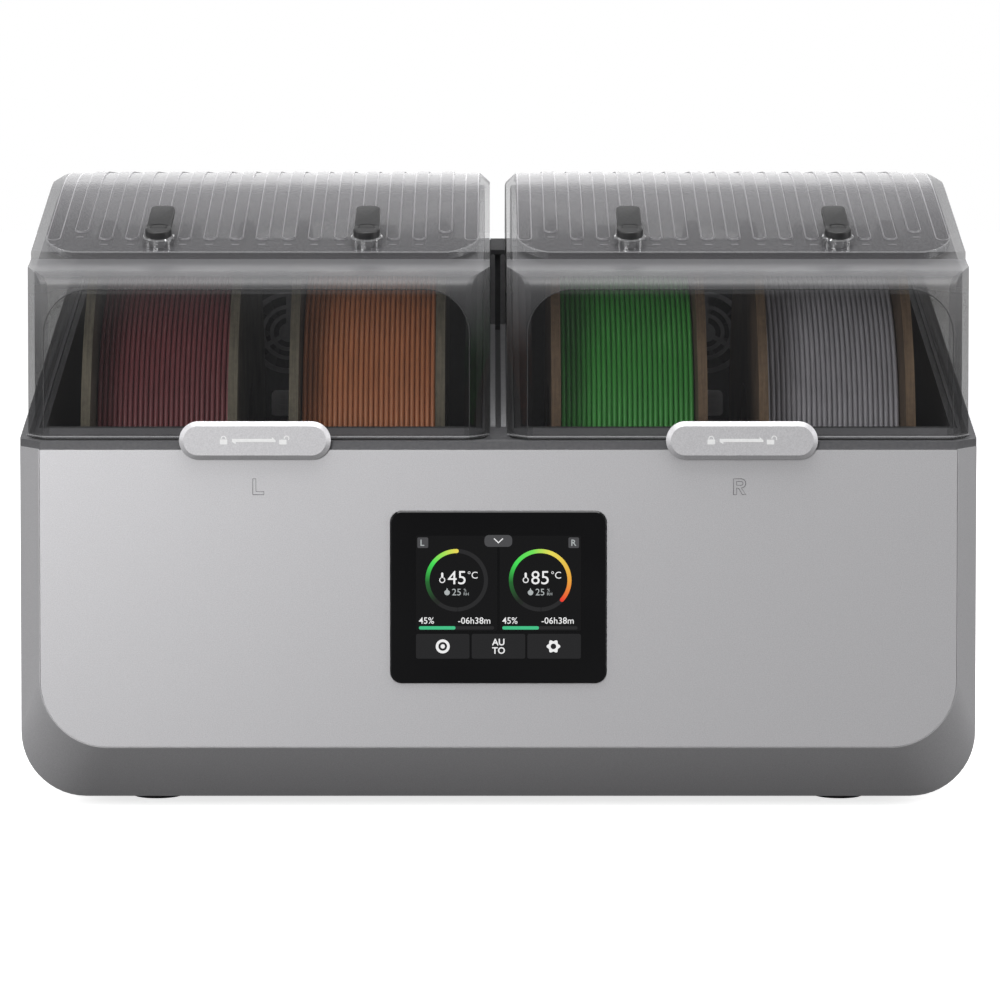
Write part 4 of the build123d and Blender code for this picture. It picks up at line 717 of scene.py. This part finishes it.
gear += [(GEAR[0] + 1.15 * sin(a), GEAR[1] + 1.15 * cos(a)) for a in reversed(gear_turns)]
spool_mark = [(SPOOL_MARK[0] + u, SPOOL_MARK[1] + v) for u, v in band(2.9, 1.1, -pi * 0.999, pi * 0.97, 40)]
spool_hub = [(SPOOL_MARK[0] + 0.9 * sin(a), SPOOL_MARK[1] + 0.9 * cos(a)) for a in [2 * pi * i / 20 for i in range(20)]]
readouts += screen([gear, spool_mark, spool_hub], 4)
settle(together("screen_readouts", readouts), "housing", lit("readout_white", (0.86, 0.86, 0.86)))
settle(together("screen_captions", captions), "housing", lit("readout_grey", (0.42, 0.45, 0.45)))

# ---- floor, light and camera ----
# A white sweep of paper that looks brighter to the camera than to the object, a large soft box on the
# left and one above, and a long lens a little above the rim of the object.
bpy.ops.object.select_all(action="DESELECT")
bpy.ops.mesh.primitive_plane_add(size=300, location=(0, 0, 0))
floor = bpy.context.object
floor.name = "floor"
paper = Finish("paper_sweep", Roughness=0.9, Emission_Strength=1.0)
seen = paper.node("ShaderNodeLightPath", {}, {}, "Is Camera Ray")
paper.feed("Base Color", paper.shades(seen, (0.0, (0.06, 0.06, 0.06)), (1.0, (0.85, 0.85, 0.85))))
paper.feed("Emission Color", paper.shades(seen, (0.0, (0, 0, 0)), (1.0, (0.75, 0.75, 0.75))))
floor.data.materials.append(paper.material)

world = bpy.data.worlds.new("studio")
bpy.context.scene.world = world
world.use_nodes = True
sky = world.node_tree.nodes["Background"]
sky.inputs["Color"].default_value = (1, 1, 1, 1)
ray = world.node_tree.nodes.new("ShaderNodeLightPath")
level = world.node_tree.nodes.new("ShaderNodeMapRange")
level.inputs["To Min"].default_value = 0.40
level.inputs["To Max"].default_value = 1.0
world.node_tree.links.new(ray.outputs["Is Camera Ray"], level.inputs["Value"])
world.node_tree.links.new(level.outputs["Result"], sky.inputs["Strength"])


def soft_box(name, place, target, size, power):
    bpy.ops.object.light_add(type="AREA", location=place)
    lamp = bpy.context.object
    lamp.name = name
    lamp.data.shape = "RECTANGLE"
    lamp.data.size, lamp.data.size_y = size
    lamp.data.energy = power
    lamp.visible_camera = False
    lamp.rotation_euler = (Vector(target) - Vector(place)).to_track_quat("-Z", "Y").to_euler()


soft_box("key_light", (-0.95, -2.0, 0.55), (0, -0.1, 0.12), (0.7, 0.7), 21)
soft_box("side_light", (1.5, -0.5, 0.5), (0, -0.1, 0.12), (0.5, 1.0), 10)
soft_box("left_light", (-1.5, -0.4, 0.6), (0, -0.1, 0.12), (0.5, 1.0), 7)
soft_box("top_light", (0.0, -0.35, 1.4), (0, 0, 0.2), (1.4, 0.7), 20)
soft_box("back_light", (0.0, 2.0, 0.95), (0, 0, 0.25), (2.6, 1.2), 15)

CAMERA_BACK = 1.5          # camera in front of the front panel
CAMERA_HEIGHT = 0.244
CAMERA_TILT = 2.0          # degrees down
lens_data = bpy.data.cameras.new("camera")
camera = bpy.data.objects.new("camera", lens_data)
bpy.context.scene.collection.objects.link(camera)
camera.location = (-0.0035, FRONT - CAMERA_BACK, CAMERA_HEIGHT)
camera.rotation_euler = (radians(90 - CAMERA_TILT), 0, 0)
lens_data.sensor_width = 36
lens_data.lens = 130.57
lens_data.shift_x = 0.010
lens_data.shift_y = -0.1465
bpy.context.scene.camera = camera
bpy.context.scene.view_settings.view_transform = "Standard"
